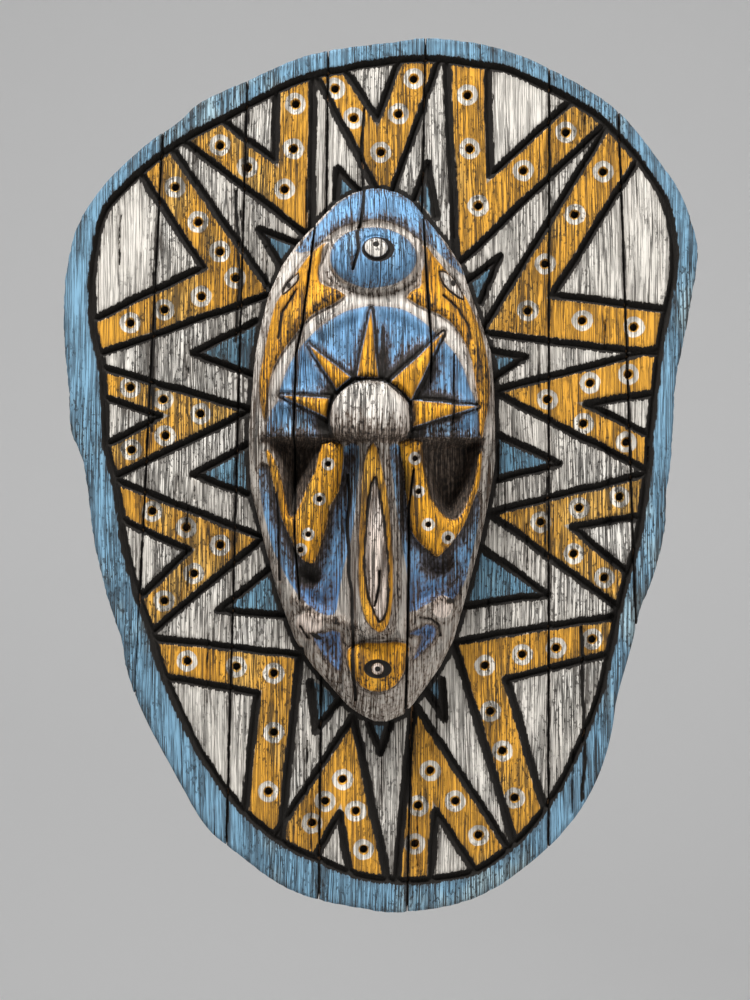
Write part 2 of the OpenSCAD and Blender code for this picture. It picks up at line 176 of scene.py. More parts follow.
def line_distance(x, z, points, closed=False):
    """The distance from each (x, z) to a polyline: for each segment, to the nearest point on it."""
    points = np.asarray(points, float)
    ends = np.roll(points, -1, 0) if closed else points[1:]
    starts = points if closed else points[:-1]
    best = np.full(x.shape, 1e9)
    for (ax, az), (bx, bz) in zip(starts, ends):
        dx, dz = bx - ax, bz - az
        t = np.clip(((x - ax) * dx + (z - az) * dz) / (dx * dx + dz * dz + 1e-12), 0, 1)
        best = np.minimum(best, (x - ax - t * dx) ** 2 + (z - az - t * dz) ** 2)
    return np.sqrt(best)


def nearest_line(x, z, lines):
    """The distance from each (x, z) to the nearest of several polylines."""
    return np.min([line_distance(x, z, line) for line in lines], axis=0)


def inside(x, z, loop):
    """True where a ray towards +x crosses the closed loop an odd number of times."""
    loop = np.asarray(loop, float)
    odd = np.zeros(x.shape, bool)
    for (ax, az), (bx, bz) in zip(loop, np.roll(loop, -1, 0)):
        if az != bz:
            crossing = (az > z) != (bz > z)
            odd ^= crossing & (x < (bx - ax) * (z - az) / (bz - az) + ax)
    return odd


def region_distance(x, z, loops):
    """Signed distance to the union of closed loops: negative inside, positive outside."""
    best = np.full(x.shape, 1e9)
    for loop in loops:
        d = line_distance(x, z, loop, closed=True)
        best = np.minimum(best, np.where(inside(x, z, loop), -d, d))
    return best


def dot_distance(x, z, dots):
    """The distance from each (x, z) to the nearest of some points."""
    best = np.full(x.shape, 1e9)
    for cx, cz in dots:
        best = np.minimum(best, (x - cx) ** 2 + (z - cz) ** 2)
    return np.sqrt(best)


def ease(t):
    """The smooth step 3t^2 - 2t^3, held at 0 below 0 and at 1 above 1."""
    t = np.clip(t, 0, 1)
    return t * t * (3 - 2 * t)


def mottle(x, z, cell_x, cell_z, seed):
    """Smooth noise in -1..1: random values on a lattice of cells, blended by ease."""
    table = np.random.default_rng(seed).uniform(-1, 1, (64, 64))
    u, v = np.asarray(x, float) / cell_x, np.asarray(z, float) / cell_z
    i, j = np.floor(u).astype(int), np.floor(v).astype(int)
    s, t = ease(u - i), ease(v - j)
    i, j, k, m = i % 64, j % 64, (i + 1) % 64, (j + 1) % 64
    low = table[i, j] * (1 - s) + table[k, j] * s
    high = table[i, m] * (1 - s) + table[k, m] * s
    return low * (1 - t) + high * t


outline = smooth_loop(SHIELD_EDGE)
rim_loop = smooth_loop(RIM_LINE)
pattern_mid_x = (outline[:, 0].min() + outline[:, 0].max()) / 2
pattern_mid_z = (outline[:, 1].min() + outline[:, 1].max()) / 2
shield_x = (shield_low[0] + shield_high[0]) / 2 - pattern_mid_x * MM
shield_z = (shield_low[2] + shield_high[2]) / 2 - pattern_mid_z * MM
print("the shield's middle is at", round(shield_x, 4), round(shield_z, 4))

# %% [markdown]
# Each gouged channel lies just outside the painted shape that it borders, so its middle line
# is the shape's edge moved outwards by half the channel's width.

# %% The gouged channels


def beside(p, q, inner):
    """The line p-q moved half a channel away from the side on which the point inner lies."""
    p, q, inner = (np.array(v, float) for v in (p, q, inner))
    along = (q - p) / np.linalg.norm(q - p)
    side = np.array([-along[1], along[0]])
    away = -side if (inner - p) @ side > 0 else side
    return p + away * CHANNEL_W / 2, q + away * CHANNEL_W / 2


def crossing(first, second, corner, reach=5.0):
    """Where two lines cross, pulled in to at most reach from the corner that they go round."""
    (p, q), (r, s) = first, second
    d, e = q - p, s - r
    t = ((r - p)[0] * e[1] - (r - p)[1] * e[0]) / (d[0] * e[1] - d[1] * e[0])
    out = p + t * d - corner
    return corner + out * min(1, reach / np.linalg.norm(out))


def corner_channel(start, corner, end, inner_start, inner_end, reach=5.0):
    """Two channels that meet beside a corner of a shape, as one polyline of three points."""
    first, second = beside(start, corner, inner_start), beside(end, corner, inner_end)
    return [first[0], crossing(first, second, np.array(corner, float), reach), second[0]]


def reaching(end, corner, extra=4.0):
    """The end of an arm moved on by extra, away from the corner, so that it runs into the rim."""
    end, corner = np.array(end, float), np.array(corner, float)
    return end + (end - corner) / np.linalg.norm(end - corner) * extra


ochre_shapes = []
channels = []
for a_out, a_in, notch, b_in, b_out, tip in CHEVRONS:
    a_out, b_out = reaching(a_out, tip), reaching(b_out, tip)
    a_in, b_in = reaching(a_in, notch), reaching(b_in, notch)
    ochre_shapes.append([a_out, a_in, notch, b_in, b_out, tip])
    channels.append(corner_channel(a_out, tip, b_out, notch, notch))
    channels.append(corner_channel(a_in, notch, b_in, a_out, b_out))
for tip, foot_a, foot_b in SPIKES:
    channels.append(corner_channel(foot_a, tip, foot_b, foot_b, foot_a, -1.2))
print(len(channels), "bent channels")

# Old drying checks in the planks, as polylines, each with its half width.
rng = np.random.default_rng(11)
CHECKS = [([(91.5, -69.5), (92, -84.5), (92.5, -102.5), (93, -130), (92, -148.5)], 0.45),
          ([(-8, 167), (-9, 148.5), (-8, 131)], 0.4),
          ([(-104, 92), (-103.5, 60), (-105, 20)], 0.3),
          ([(-66.5, 130), (-64.5, 96), (-66, 61)], 0.3)]
for _ in range(60):
    check_x, check_z = rng.uniform(-125, 125), rng.uniform(-175, 175)
    length, lean = rng.uniform(8, 40), rng.uniform(-0.03, 0.03)
    CHECKS.append(([(check_x, check_z), (check_x + lean * length, check_z - length)],
                   rng.uniform(-0.35, 0.0)))

# %% [markdown]
# The front of the shield is a height map. Each carved feature takes a little wood away: the
# U-shaped channels, the drilled dots, the softened outer edge, the chipped edges of the joints,
# the old checks, and the slight waves that a drawknife leaves.

# %% Carve the shield's front


def seam_x(k, z):
    """x of joint k at height z, on the straight line between its two given ends."""
    bottom, top = SEAMS[k][1], SEAMS[k][0]
    return bottom + (top - bottom) * (z + SEAM_Z) / (2 * SEAM_Z)


def seam_distance(x, z):
    """Distance to the nearest joint between planks."""
    return np.min([np.abs(x - seam_x(k, z)) for k in range(len(SEAMS))], axis=0)


def check_distance(x, z, checks):
    """Distance to the nearest check's edge, less its half width, which tapers at random."""
    best = np.full(x.shape, 9.0)
    for n, (line, half) in enumerate(checks):
        wander = 0.5 * mottle(z, 0 * z, 11, 1, 40 + n)
        best = np.minimum(best, line_distance(x + wander, z, line) - half)
    return best


def shield_fields(x, z):
    """Distances that the shield's carving and paint follow, in mm, as a dictionary."""
    wobble_x = x + 0.35 * mottle(x, z, 9, 14, 1)
    wobble_z = z + 0.35 * mottle(x, z, 9, 14, 2)
    on_rim = np.where(inside(wobble_x, wobble_z, rim_loop), 1, -1)
    rim = on_rim * line_distance(wobble_x, wobble_z, rim_loop, closed=True)
    cut = nearest_line(wobble_x, wobble_z, channels)
    cut = np.where(rim > -0.5, cut, 9)
    painted_over = 3 * ease((-90 - x) / 6) * ease((-58 - z) / 6)
    return {
        "rim": rim,
        "cut": np.minimum(cut, np.abs(rim)),
        "ochre": np.where(rim > 0, region_distance(wobble_x, wobble_z, ochre_shapes), 9),
        "spike": region_distance(wobble_x, wobble_z, SPIKES),
        "dot": dot_distance(x, z, DOTS),
        "seam": np.minimum(seam_distance(x, z) - JOINT_GAP / 2 + painted_over,
                           check_distance(x, z, CHECKS)),
        "edge": line_distance(x, z, outline, closed=True),
        "foot": region_distance(x, z, [FACE_LOOP]),
    }


def shield_height(x, z, f):
    """Millimetres below the planks' front face: the sum of all the cuts, never above it."""
    half = CHANNEL_W / 2 + 0.35 * mottle(x, z, 13, 13, 3)
    channel = CHANNEL_DEPTH * np.cos(np.pi / 2 * np.clip(f["cut"] / half, 0, 1)) ** 1.3
    drilled = 3.4 * ease((2.05 - f["dot"]) / 0.7)
    dished = 0.35 * ease((5.0 - f["dot"]) / 1.5)
    out = np.clip(1 - f["edge"] / EDGE_ROUND, 0, 1)
    rounded = EDGE_ROUND * (1 - np.sqrt(1 - 0.96 * out**2))
    joint_w = 1.0 + 0.45 * mottle(x, z, 7, 5, 4) + 0.3 * mottle(x, z, 3, 1.6, 5)
    joint = 1.5 * ease(1 - f["seam"] / np.maximum(joint_w, 0.3)) ** 1.2
    waves = 0.22 * (1 + mottle(x, z, 17, 31, 6)) + 0.1 * (1 + mottle(x, z, 3.1, 16, 7))
    chips = 0.5 * ease(mottle(x, z, 5, 7, 8) * 2 - 1) * ease(1 - f["edge"] / 9)
    behind = ease(-(f["foot"] + 2) / 2)
    carved = np.maximum(channel, drilled) + dished + rounded + joint + waves + chips
    return -(carved * (1 - behind) + 0.6 * behind)


# %% [markdown]
# The face is lens-shaped: every level line runs from its left edge to its right edge, and the
# rise in between is a rounded arch. On that dome sit the third eye, the brow with its fan of
# rays, the sunken eyes, the long nose, the cheeks and the mouth.

# %% The face's pattern
FACE_EDGES = np.array([
    (-112, -3, 3), (-109, -9, 10), (-105, -15, 14), (-97, -22, 20), (-87, -31, 27),
    (-75, -39, 33), (-54, -47, 39), (-31, -53, 45), (-7, -59, 50), (6, -60, 52), (21, -60, 52),
    (39, -58.5, 51.5), (56, -57, 50), (68, -54.5, 46), (82, -51, 41), (95, -45, 36.5),
    (105, -38, 30), (117, -27, 20), (124, -20, 14.5), (128, -13, 8.5), (130, -6, 1)])
SEAM_LEFT = np.array([(-90, -34), (-52, -37), (-33, -38.5), (20, -39), (54, -38), (68, -35),
                      (92, -32), (120, -29)])
SEAM_RIGHT = np.array([(-112, 11), (-40, 12.5), (-15, 12.5), (16, 16), (36, 22), (60, 22.5),
                       (80, 21), (97, 20), (125, 19)])
FACE_LOOP = np.vstack([FACE_EDGES[:, [1, 0]], FACE_EDGES[::-1, [2, 0]]])
STAVE_GAP = 0.5
CAP = [(-39, 102.5), (-29.5, 113.5), (-20, 123.5), (-13, 128), (-2.5, 131), (7, 129.5),
       (15, 124.5), (21, 117.5), (29.5, 105), (38, 91.5), (31.5, 96.5), (23.5, 104.5),
       (19, 107), (14, 111), (8.5, 114.5), (2, 116.5), (-5, 117), (-14, 115), (-21, 112),
       (-27, 107), (-32.5, 102.5)]
FAN = [(-52.5, 17.5), (-52, 23), (-49.5, 30), (-46.5, 34), (-46, 39.5), (-43.5, 47),
       (-39.5, 54), (-35.5, 60), (-30, 65.5), (-23.5, 70.5), (-16.5, 74.5), (-10.5, 76),
       (-4.5, 77), (3, 77), (10.5, 75.5), (18, 71), (23.5, 66), (29, 61), (34, 55), (38, 48),
       (40.5, 40.5), (43, 33.5), (44.5, 26), (45, 18), (44, 16.5), (20, 16), (-28, 16),
       (-51, 16.5)]
EARS = [[(-24, 106), (-31, 102), (-37, 94.5), (-41.5, 88), (-47.5, 78.5), (-51.5, 64),
         (-55, 48), (-55.5, 39), (-54.5, 30.5), (-53, 25), (-51.5, 32), (-51.5, 39.5),
         (-49.5, 49), (-41.5, 61.5), (-34, 71), (-28, 75.5), (-16.5, 82), (-25.5, 86.5),
         (-28.5, 89), (-28.5, 95.5)],
        [(19, 104.5), (24, 100), (30, 93), (37, 83.5), (40.5, 77.5), (46, 64), (49.5, 48),
         (49.5, 36.5), (47, 20.5), (45.5, 16), (44.5, 26), (43.5, 43.5), (39.5, 58.5),
         (31.5, 70.5), (21.5, 76), (12, 81), (16, 85), (18.5, 87)]]
RAYS = [[(-4.5, 75.5), (-11, 45), (-1, 44.5)], [(-33, 59.5), (-20.5, 39), (-14, 44.5)],
        [(-45.5, 36.5), (-23.5, 35), (-24.5, 26)], [(28.5, 65), (4.5, 42.5), (14, 34)],
        [(44, 31), (14.5, 34), (14.5, 22)]]
CHEEKS = [[(-27.5, 14), (-18, 14), (-17.5, 2), (-19.5, -7.5), (-23.5, -14), (-25, -23.5),
           (-28.5, -34.5), (-30.5, -40), (-34, -40), (-38.5, -35.5), (-41, -29.5),
           (-45.5, -19.5), (-49.5, -2.5), (-52.5, 11), (-50, 9.5), (-47.2, 3), (-45.5, -2.5),
           (-43.5, -11.5), (-42, -17.5), (-41, -19), (-39, -18), (-36.5, -13), (-33.5, -5.5),
           (-29.5, 2.5)],
          [(8, 15), (19, 15), (20, 2.5), (23, -10.5), (27, -16.5), (32.5, -20.5),
           (37.5, -17), (40.5, -10), (43, -1.5), (44.5, 9), (46, 10.5), (45.5, 2.5),
           (44.5, -5.5), (40, -18), (36.5, -25), (31.5, -32.5), (26, -37.5), (22.5, -35),
           (18, -31.5), (13, -23.5), (11.5, -12.5), (10.5, 2)]]
SOCKETS = [[(-51, 18), (-28, 16), (-29, 9), (-31, 2.5), (-34, -5.5), (-37.5, -13),
            (-39.5, -18), (-41, -19), (-42, -17.5), (-43.5, -11.5), (-45.5, -2.5), (-47.5, 8)],
           [(19, 16), (45.5, 18), (44.5, 9), (42.5, -2.5), (39, -11.5), (36.5, -16.5),
            (32.5, -20), (28.5, -19), (25, -14.5), (22, -8.5), (19.5, 2.5)]]
STRIPS = [[(-17, 13), (-10, 13), (-10.5, -2.5), (-12, -16), (-14, -29.5), (-17.5, -43.5),
           (-19.5, -57), (-21.5, -63.5), (-28.5, -62.5), (-35.5, -57), (-41.5, -49.5),
           (-48, -36.5), (-51.5, -25), (-54.5, -11.5), (-55.5, 2.5), (-52, 2.5), (-49, -8),
           (-45, -19.5), (-40, -30), (-35, -41), (-30.5, -44), (-26, -32), (-21, -14),
           (-18, -3)],
          [(4, 13), (8.5, 13), (9.5, 0), (12, -12), (15, -24), (20, -34), (25, -38),
           (30, -35), (36, -26), (41, -17), (43.5, -9), (45, -14), (44, -24), (41, -37),
           (39, -47), (35, -54.5), (30.5, -52.5), (28, -55), (20, -59), (13, -62.5),
           (12.5, -48), (10.5, -34), (8, -20.5), (5.5, -2.5)]]
LEAF = [(-3.5, 14.5), (-7.5, 4.5), (-9, -11.5), (-10, -29.5), (-10, -45.5), (-9, -57),
        (-6.5, -65.5), (-1, -71.5), (3, -67), (5, -57), (5.5, -41), (4.5, -25), (2.5, -7),
        (-0.5, 7)]
LENS = [(-2.5, -1.5), (-5.5, -11.5), (-7, -29.5), (-7, -43.5), (-5.5, -55), (-3, -61.5),
        (-1, -66), (2, -61.5), (3, -52.5), (3, -36.5), (1.5, -23), (-0.5, -11.5)]
MOUTH = [(-13, -77.5), (-1, -76.5), (11.5, -77), (12.5, -82), (10.5, -89), (6.5, -95.5),
         (-1, -98.5), (-8.5, -96.5), (-13.5, -90), (-15.5, -83)]
POOLS = [[(-31, -73.5), (-25.5, -72), (-18.5, -72), (-18.5, -89.5), (-23.5, -85.5),
          (-28.5, -79)],
         [(13, -72.5), (18, -70), (21.5, -68), (25, -70), (24, -75.5), (20, -80), (15, -84),
          (18, -77.5), (18.5, -73.5)],
         [(28, -55), (36, -47), (35.5, -54), (32.5, -57)]]
SIDE_EYES = [[(-38, 91.5), (-42.5, 87.5), (-44.5, 83), (-41.5, 85.5), (-38.5, 88.5)],
             [(27, 92.5), (31.5, 91), (35, 86), (37.5, 80.5), (33, 83), (29, 87)]]
WINGS = [[(-38.5, -57), (-32.5, -61.5), (-27, -64.5), (-13, -69)],
         [(37.5, -44), (28, -54), (18, -61.5), (13, -68)]]
SLOTS = [[(-38.5, 84.5), (-45, 74), (-46.5, 62.5)],
         [(28.5, 82), (35, 76), (39.5, 68.5), (41.5, 61.5)],
         [(18, -65), (23, -65.5), (26.5, -68.5), (27, -73)], [(-36.5, -69), (-33.5, -74)]]
BULBS = [(-32.5, -67.5), (28, -60)]
FACE_DOTS = [(-24, 5), (-28, -11), (-33, -27), (-36.5, -34), (15.5, 7.5), (17, -7.5),
             (21.5, -22.5), (30.5, -28.5)]
FACE_CHECKS = [([(-8, 130), (-9, 118.5), (-11, 109.5), (-10.5, 102.5), (-13, 93.5)], 0.35),
               ([(-14.5, 0), (-15, -27), (-13, -68), (-12, -102.5)], 0.4),
               ([(-0.5, -43.5), (-0.5, -49.5), (-2.5, -59)], 0.25),
               ([(-47.5, -8), (-46, -48)], 0.15), ([(34, 55), (33, 24)], 0.12)]
THIRD_EYE = (-3.5, 99)
MOUTH_EYE = (-1.5, -88)
BROW_Z = 17
# The brow's dome as carved: its middle, its radii and its height.
BROW_MIDDLE, BROW_RADII, BROW_RISE = (-5, 24), (19, 20.5), 12.6
# The painted shapes: loops that are drawn with round curves, and ellipses as middle and radii.
ROUND_SHAPES = {"cap": [CAP], "fan": [FAN], "ears": EARS, "cheeks": CHEEKS, "sockets": SOCKETS,
                "strips": STRIPS, "leaf": [LEAF], "lens": [LENS], "mouth": [MOUTH],
                "pools": POOLS, "side_eyes": SIDE_EYES}
ELLIPSES = {"bump": (THIRD_EYE, (19.8, 13.9)), "bump_ring": (THIRD_EYE, (23.6, 16.6)),
            "eye_disc": ((-2.3, 103), (5.2, 4.3)), "brow_dome": ((-4.75, 26), (18.7, 17.3)),
            "mouth_eye": (MOUTH_EYE, (6.6, 4.4))}
# Ellipses that are only painted, with clean outlines.
PUPILS = {"eye_black": ((-1.3, 102.3), (7.4, 5.7)), "pupil": ((-2.2, 104.6), (1.5, 1.3)),
          "left_pupil": ((-42, 86.5), (1.0, 1.5)), "right_pupil": ((33, 87.5), (1.2, 1.6)),
          "mouth_iris": (MOUTH_EYE, (2.7, 2.6)), "mouth_pupil": (MOUTH_EYE, (1.3, 1.3))}
# Height of the dome on its middle line: (z, rise in front of the planks).
DOME_LINE = np.array([
    (-112, 5), (-108, 11), (-98, 17), (-85, 20), (-60, 22), (-20, 24), (14, 26), (18, 31),
    (45, 30), (70, 26), (84, 22), (100, 21), (116, 17), (124, 13), (130, 6)])
FACE_EDGE_H = 4
# The face was drawn as a viewer sees it from this far in front of the planks.
VIEW_DISTANCE = 1100
VIEW_CENTRE = (-2.7, -11.4)

print(sum(len(shapes) for shapes in ROUND_SHAPES.values()), "round shapes,", len(RAYS), "rays")

# %% [markdown]
# Three small shapes do the carving. A mound is half an ellipsoid, a swell is a pad that rises
# inside a painted edge, and a trench follows a line. The height map is their sum on the dome.

# %% Carve the face


def mound(x, z, centre, radii):
    """Half an ellipsoid of height 1 over an ellipse, and 0 outside it."""
    q = 1 - ((x - centre[0]) / radii[0]) ** 2 - ((z - centre[1]) / radii[1]) ** 2
    return np.sqrt(np.clip(q, 0, 1))


def ellipse_distance(x, z, centre, radii):
    """About the distance to an ellipse, negative inside: (radius share - 1) x smaller radius."""
    share = np.hypot((x - centre[0]) / radii[0], (z - centre[1]) / radii[1])
    return (share - 1) * min(radii)


def swell(d, width):
    """A rounded pad over a region: 0 at its edge, rising to 1 at the depth width inside it."""
    t = np.clip(-d / width, 0, 1)
    return np.sqrt(1 - (1 - t) ** 2)


def trench(d, half):
    """A cut with a rounded floor: 1 on the line, 0 at the distance half from it."""
    return np.cos(np.pi / 2 * np.clip(np.abs(d) / half, 0, 1)) ** 2


def dome_height(x, z):
    """The plain dome: an arch from the left edge to the right one, as high as DOME_LINE says."""
    left = np.interp(z, FACE_EDGES[:, 0], FACE_EDGES[:, 1])
    right = np.interp(z, FACE_EDGES[:, 0], FACE_EDGES[:, 2])
    u = (2 * x - left - right) / (right - left)
    across = np.clip(1 - u * u, 0, 1) ** 0.42
    return FACE_EDGE_H + (np.interp(z, DOME_LINE[:, 0], DOME_LINE[:, 1]) - FACE_EDGE_H) * across


def as_seen(x, z):
    """Where a viewer in front sees a point of the dome: moved from the middle by h / (D - h)."""
    rise = dome_height(x, z) + 11 * mound(x, z, BROW_MIDDLE, BROW_RADII)
    nearer = rise / (VIEW_DISTANCE - rise)
    return x + (x - VIEW_CENTRE[0]) * nearer, z + (z - VIEW_CENTRE[1]) * nearer


def filled_joints(z):
    """How far the left and the right joint are filled with paint, from 0 to 1, at height z."""
    return ease((-56 - z) / 4), ease((41 - z) / 3) * ease((z - 2) / 3)


def face_fields(true_x, true_z):
    """Distances that the face's carving and paint follow, in mm, as a dictionary."""
    x, z = as_seen(true_x, true_z)
    wx, wz = x + 0.3 * mottle(x, z, 7, 11, 21), z + 0.3 * mottle(x, z, 7, 11, 22)
    f = {name: region_distance(wx, wz, [smooth_loop(shape, 2) for shape in shapes])
         for name, shapes in ROUND_SHAPES.items()}
    f.update({name: ellipse_distance(wx, wz, *where) for name, where in ELLIPSES.items()})
    f.update({name: ellipse_distance(x, z, *where) for name, where in PUPILS.items()})
    f.update(
        x=x, z=z, rays=region_distance(wx, wz, RAYS), wings=nearest_line(wx, wz, WINGS),
        slots=nearest_line(wx, wz, SLOTS), dot=dot_distance(x, z, FACE_DOTS),
        bulbs=np.minimum(ellipse_distance(wx, wz, BULBS[0], (6.2, 4.6)),
                         ellipse_distance(wx, wz, BULBS[1], (4.6, 5.2))),
        edge=line_distance(true_x, true_z, FACE_LOOP, closed=True))
    seams = [np.abs(true_x - np.interp(true_z, s[:, 0], s[:, 1])) - STAVE_GAP / 2
             for s in (SEAM_LEFT, SEAM_RIGHT)]
    in_left = (true_z > -80) & (true_z < 112)
    in_right = (true_z > -106) & (true_z < 116)
    filled = filled_joints(true_z)
    seams = np.minimum(np.where(in_left, seams[0] + 9 * filled[0], 9),
                       np.where(in_right, seams[1] + 9 * filled[1], 9))
    f["seam"] = np.minimum(seams, check_distance(x, z, FACE_CHECKS))
    return f


def face_height(x, z, f):
    """Millimetres in front of the planks: the arched dome, plus pads, less hollows and cuts."""
    dome = dome_height(x, z)
    x, z = f["x"], f["z"]
    above = ease((z - BROW_Z + 1.6) / 2.4)
    below = 1 - above
    brow_dome = BROW_RISE * mound(x, z, BROW_MIDDLE, BROW_RADII) * above
    eye_bump = 9.2 * mound(x, z, THIRD_EYE, (20.5, 14.6)) - 1.2 * trench(f["bump_ring"] + 1.5, 3)
    fan = 1.5 * swell(f["fan"], 4) * above
    scoop = 3.2 * ease((f["rays"] - 0.5) / 6) * ease(-f["fan"] / 7) * ease(f["brow_dome"] / 3)
    scoop = scoop * above
    rays = (2.6 * swell(f["rays"], 3.5) - 1.4 * trench(f["rays"] - 1.3, 1.6)) * above
    rays = rays * (f["brow_dome"] > -1)
    dome_cut = 1.6 * trench(f["brow_dome"] - 1, 1.8) * above
    ears = 3 * swell(f["ears"], 5) - 0.7 * trench(f["ears"] - 0.8, 1.2)
    nose_d = np.abs(x + 2.6 - 0.02 * (z + 30))
    nose = 13 * ease((14.5 - nose_d) / 11) * ease((z + 76) / 9) * below
    cheeks = 6.5 * swell(f["cheeks"], 5.5) * below
    sockets = 12 * ease(-f["sockets"] / 6.5) * below
    trough = 2.5 * trench(f["strips"] + 3, 6) * below * ease((z + 66) / 10)
    leaf = 1.2 * swell(f["leaf"], 2.5) - 1.0 * trench(f["leaf"] - 0.6, 1.0)
    lens = 0.7 * swell(f["lens"], 2) - 1.0 * trench(f["lens"] - 0.4, 0.9)
    wings = 2.2 * trench(f["wings"], 5)
    for bulb in BULBS:
        wings = wings + 2.2 * mound(x, z, bulb, (7, 5.5))
    pools = 2.8 * ease(-f["pools"] / 4)
    pits = 4 * ease(1 - np.hypot((x + 33.5) / 6, (z + 45.5) / 7))
    pits = pits + 3 * ease(1 - np.hypot((x - 25) / 10, (z + 38) / 9)) * (f["cheeks"] > 0)
    mouth = 8 * mound(x, z, (-1, -87), (15.5, 12.5)) - 1.1 * trench(f["mouth"] - 0.8, 1.2)
    mouth_eye = 0.9 * ease(-f["mouth_eye"] / 0.8) - 0.6 * ease(-(f["mouth_eye"] + 2.4) / 0.8)
    eye = 1.1 * trench(f["eye_disc"] - 1.1, 1.2)
    side_eyes = 0.8 * trench(f["side_eyes"] - 0.6, 0.9)
    slots = 1.4 * trench(f["slots"], 1.1)
    drilled = 2.2 * ease((1.5 - f["dot"]) / 0.6)
    crack_w = np.maximum(0.8 + 0.35 * mottle(x, z, 6, 5, 24), 0.3)
    cracks = 1.6 * ease(1 - f["seam"] / crack_w) ** 1.2
    waves = 0.2 * (1 + mottle(x, z, 9, 16, 25)) + 0.1 * (1 + mottle(x, z, 2.6, 11, 26))
    solid = dome + brow_dome + eye_bump + fan + ears + nose + cheeks + wings + mouth
    solid = solid + np.where(below > 0.5, leaf + lens, 0) + rays
    cuts = scoop + dome_cut + sockets + trough + pools + pits + mouth_eye + eye + side_eyes
    return np.maximum(solid - cuts - slots - drilled - cracks - waves, 1.5)


# %% [markdown]
# Every plank and stave becomes one closed shell: a fine grid in front, walls that drop from
# its border to the back, and a flat back. The grid's two directions are a share s from side
# to side and a share t from end to end, so its border follows joints and outline exactly.

# %% Grids for the planks and the staves
FIRST_GUESS, GUESSES = 180.0, 6
THINNEST_ROW = 0.3


def half_outline(axis, far_half):
    """Half of the outline as two arrays, sorted along axis: the right half over z for axis 1,
    the upper half over x for axis 0, or the opposite half where far_half is False."""
    start, end = outline[:, axis].argmin(), outline[:, axis].argmax()
    if far_half == (axis == 1):
        start, end = end, start
    half = np.roll(outline, -start, 0)[: (end - start) % len(outline) + 1]
    half = half[np.argsort(half[:, axis])]
    return half[:, axis], half[:, 1 - axis]


def shares(length, step):
    """Evenly spaced shares from 0 to 1, about step apart over the given length."""
    return np.linspace(0, 1, max(3, int(round(length / step)) + 1))


def worn_edge(along):
    """How far the outer edge is worn in, in mm, from fine and coarse noise along it."""
    return 0.22 * (1 + mottle(along, 0 * along, 1.6, 1, 31)) + 0.2 * (
        1 + mottle(along, 0 * along, 6, 1, 32))


def inner_plank_grid(k):
    """x and z of a grid whose columns run from the lower outline to the upper one. Each end's z
    is found by reading the outline at the column's x, which itself leans with z, a few times."""
    low_x, high_x = (lambda z: seam_x(k - 1, z) + JOINT_GAP / 2,
                     lambda z: seam_x(k, z) - JOINT_GAP / 2)
    s = shares(high_x(0) - low_x(0), grid_step)[None, :]
    ends = []
    for upper in (False, True):
        chain_x, chain_z = half_outline(0, upper)
        z = np.full(s.shape, FIRST_GUESS if upper else -FIRST_GUESS)
        for _ in range(GUESSES):
            z = np.interp(low_x(z) + (high_x(z) - low_x(z)) * s, chain_x, chain_z)
        worn = worn_edge(low_x(z) + (high_x(z) - low_x(z)) * s)
        ends.append(z - worn if upper else z + worn)
    t = shares(np.max(ends[1] - ends[0]), grid_step)[:, None]
    z = ends[0] + (ends[1] - ends[0]) * t
    return low_x(z) + (high_x(z) - low_x(z)) * s, z


def outer_plank_grid(k):
    """x and z of a grid whose rows run between the outline and the one joint."""
    right_side = k > 0
    joint = len(SEAMS) - 1 if right_side else 0
    chain_z, chain_x = half_outline(1, right_side)
    z = np.linspace(chain_z[0], chain_z[-1], 4000)
    rim_x, gap = np.interp(z, chain_z, chain_x), JOINT_GAP / 2
    seam = seam_x(joint, z) + (gap if right_side else -gap)
    wide = np.where((rim_x - seam if right_side else seam - rim_x) > THINNEST_ROW)[0]
    t = shares(z[wide[-1]] - z[wide[0]], grid_step)[:, None]
    z = z[wide[0]] + (z[wide[-1]] - z[wide[0]]) * t
    worn = worn_edge(z) * ease((z - z[0]) / 6) * ease((z[-1] - z) / 6)
    rim_x = np.interp(z, chain_z, chain_x) - (worn if right_side else -worn)
    seam = seam_x(joint, z) + (gap if right_side else -gap)
    left, right = (seam, rim_x) if right_side else (rim_x, seam)
    s = shares(np.max(right - left), grid_step)[None, :]
    return left + (right - left) * s, z + 0 * s


def stave_grid(which):
    """x and z of a stave's grid: rows from its left edge to its right edge, close together
    towards the face's steep rim."""
    box_low, box_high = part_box(STAVES[which])
    z_low, z_high = (box_low[2] - shield_z) / MM, (box_high[2] - shield_z) / MM
    t = shares(z_high - z_low, face_step)
    t = t - 0.08 * np.sin(2 * np.pi * t)
    z = (z_low + (z_high - z_low) * t)[:, None]
    edge = [np.interp(z, FACE_EDGES[:, 0], FACE_EDGES[:, side]) for side in (1, 2)]
    seam = [np.interp(z, s[:, 0], s[:, 1]) for s in (SEAM_LEFT, SEAM_RIGHT)]
    gap = [STAVE_GAP / 2 - 0.22 * share for share in filled_joints(z)]
    left = [edge[0], np.maximum(edge[0], seam[0] + gap[0]), seam[1] + gap[1]][which]
    right = [seam[0] - gap[0], np.minimum(edge[1], seam[1] - gap[1]), edge[1]][which]
    right = np.maximum(right, left + 0.5)
    s = shares(np.max(right - left), face_step * 0.85)
    s = [1 - np.cos(s * np.pi / 2), s, np.sin(s * np.pi / 2)][which][None, :]
    return left + (right - left) * s, z + 0 * s


# %% [markdown]
# Writing the arrays straight into the mesh keeps this quick even with a few hundred thousand
# vertices. The attributes travel with the vertices, for the paint to read later.

# %% Turn a grid into a closed shell


def border_loop(rows, columns):
    """Vertex numbers round the border of a grid, each once, in order."""
    n = np.arange(rows * columns).reshape(rows, columns)
    return np.concatenate([n[0, :], n[1:, -1], n[-1, -2::-1], n[-2:0:-1, 0]])


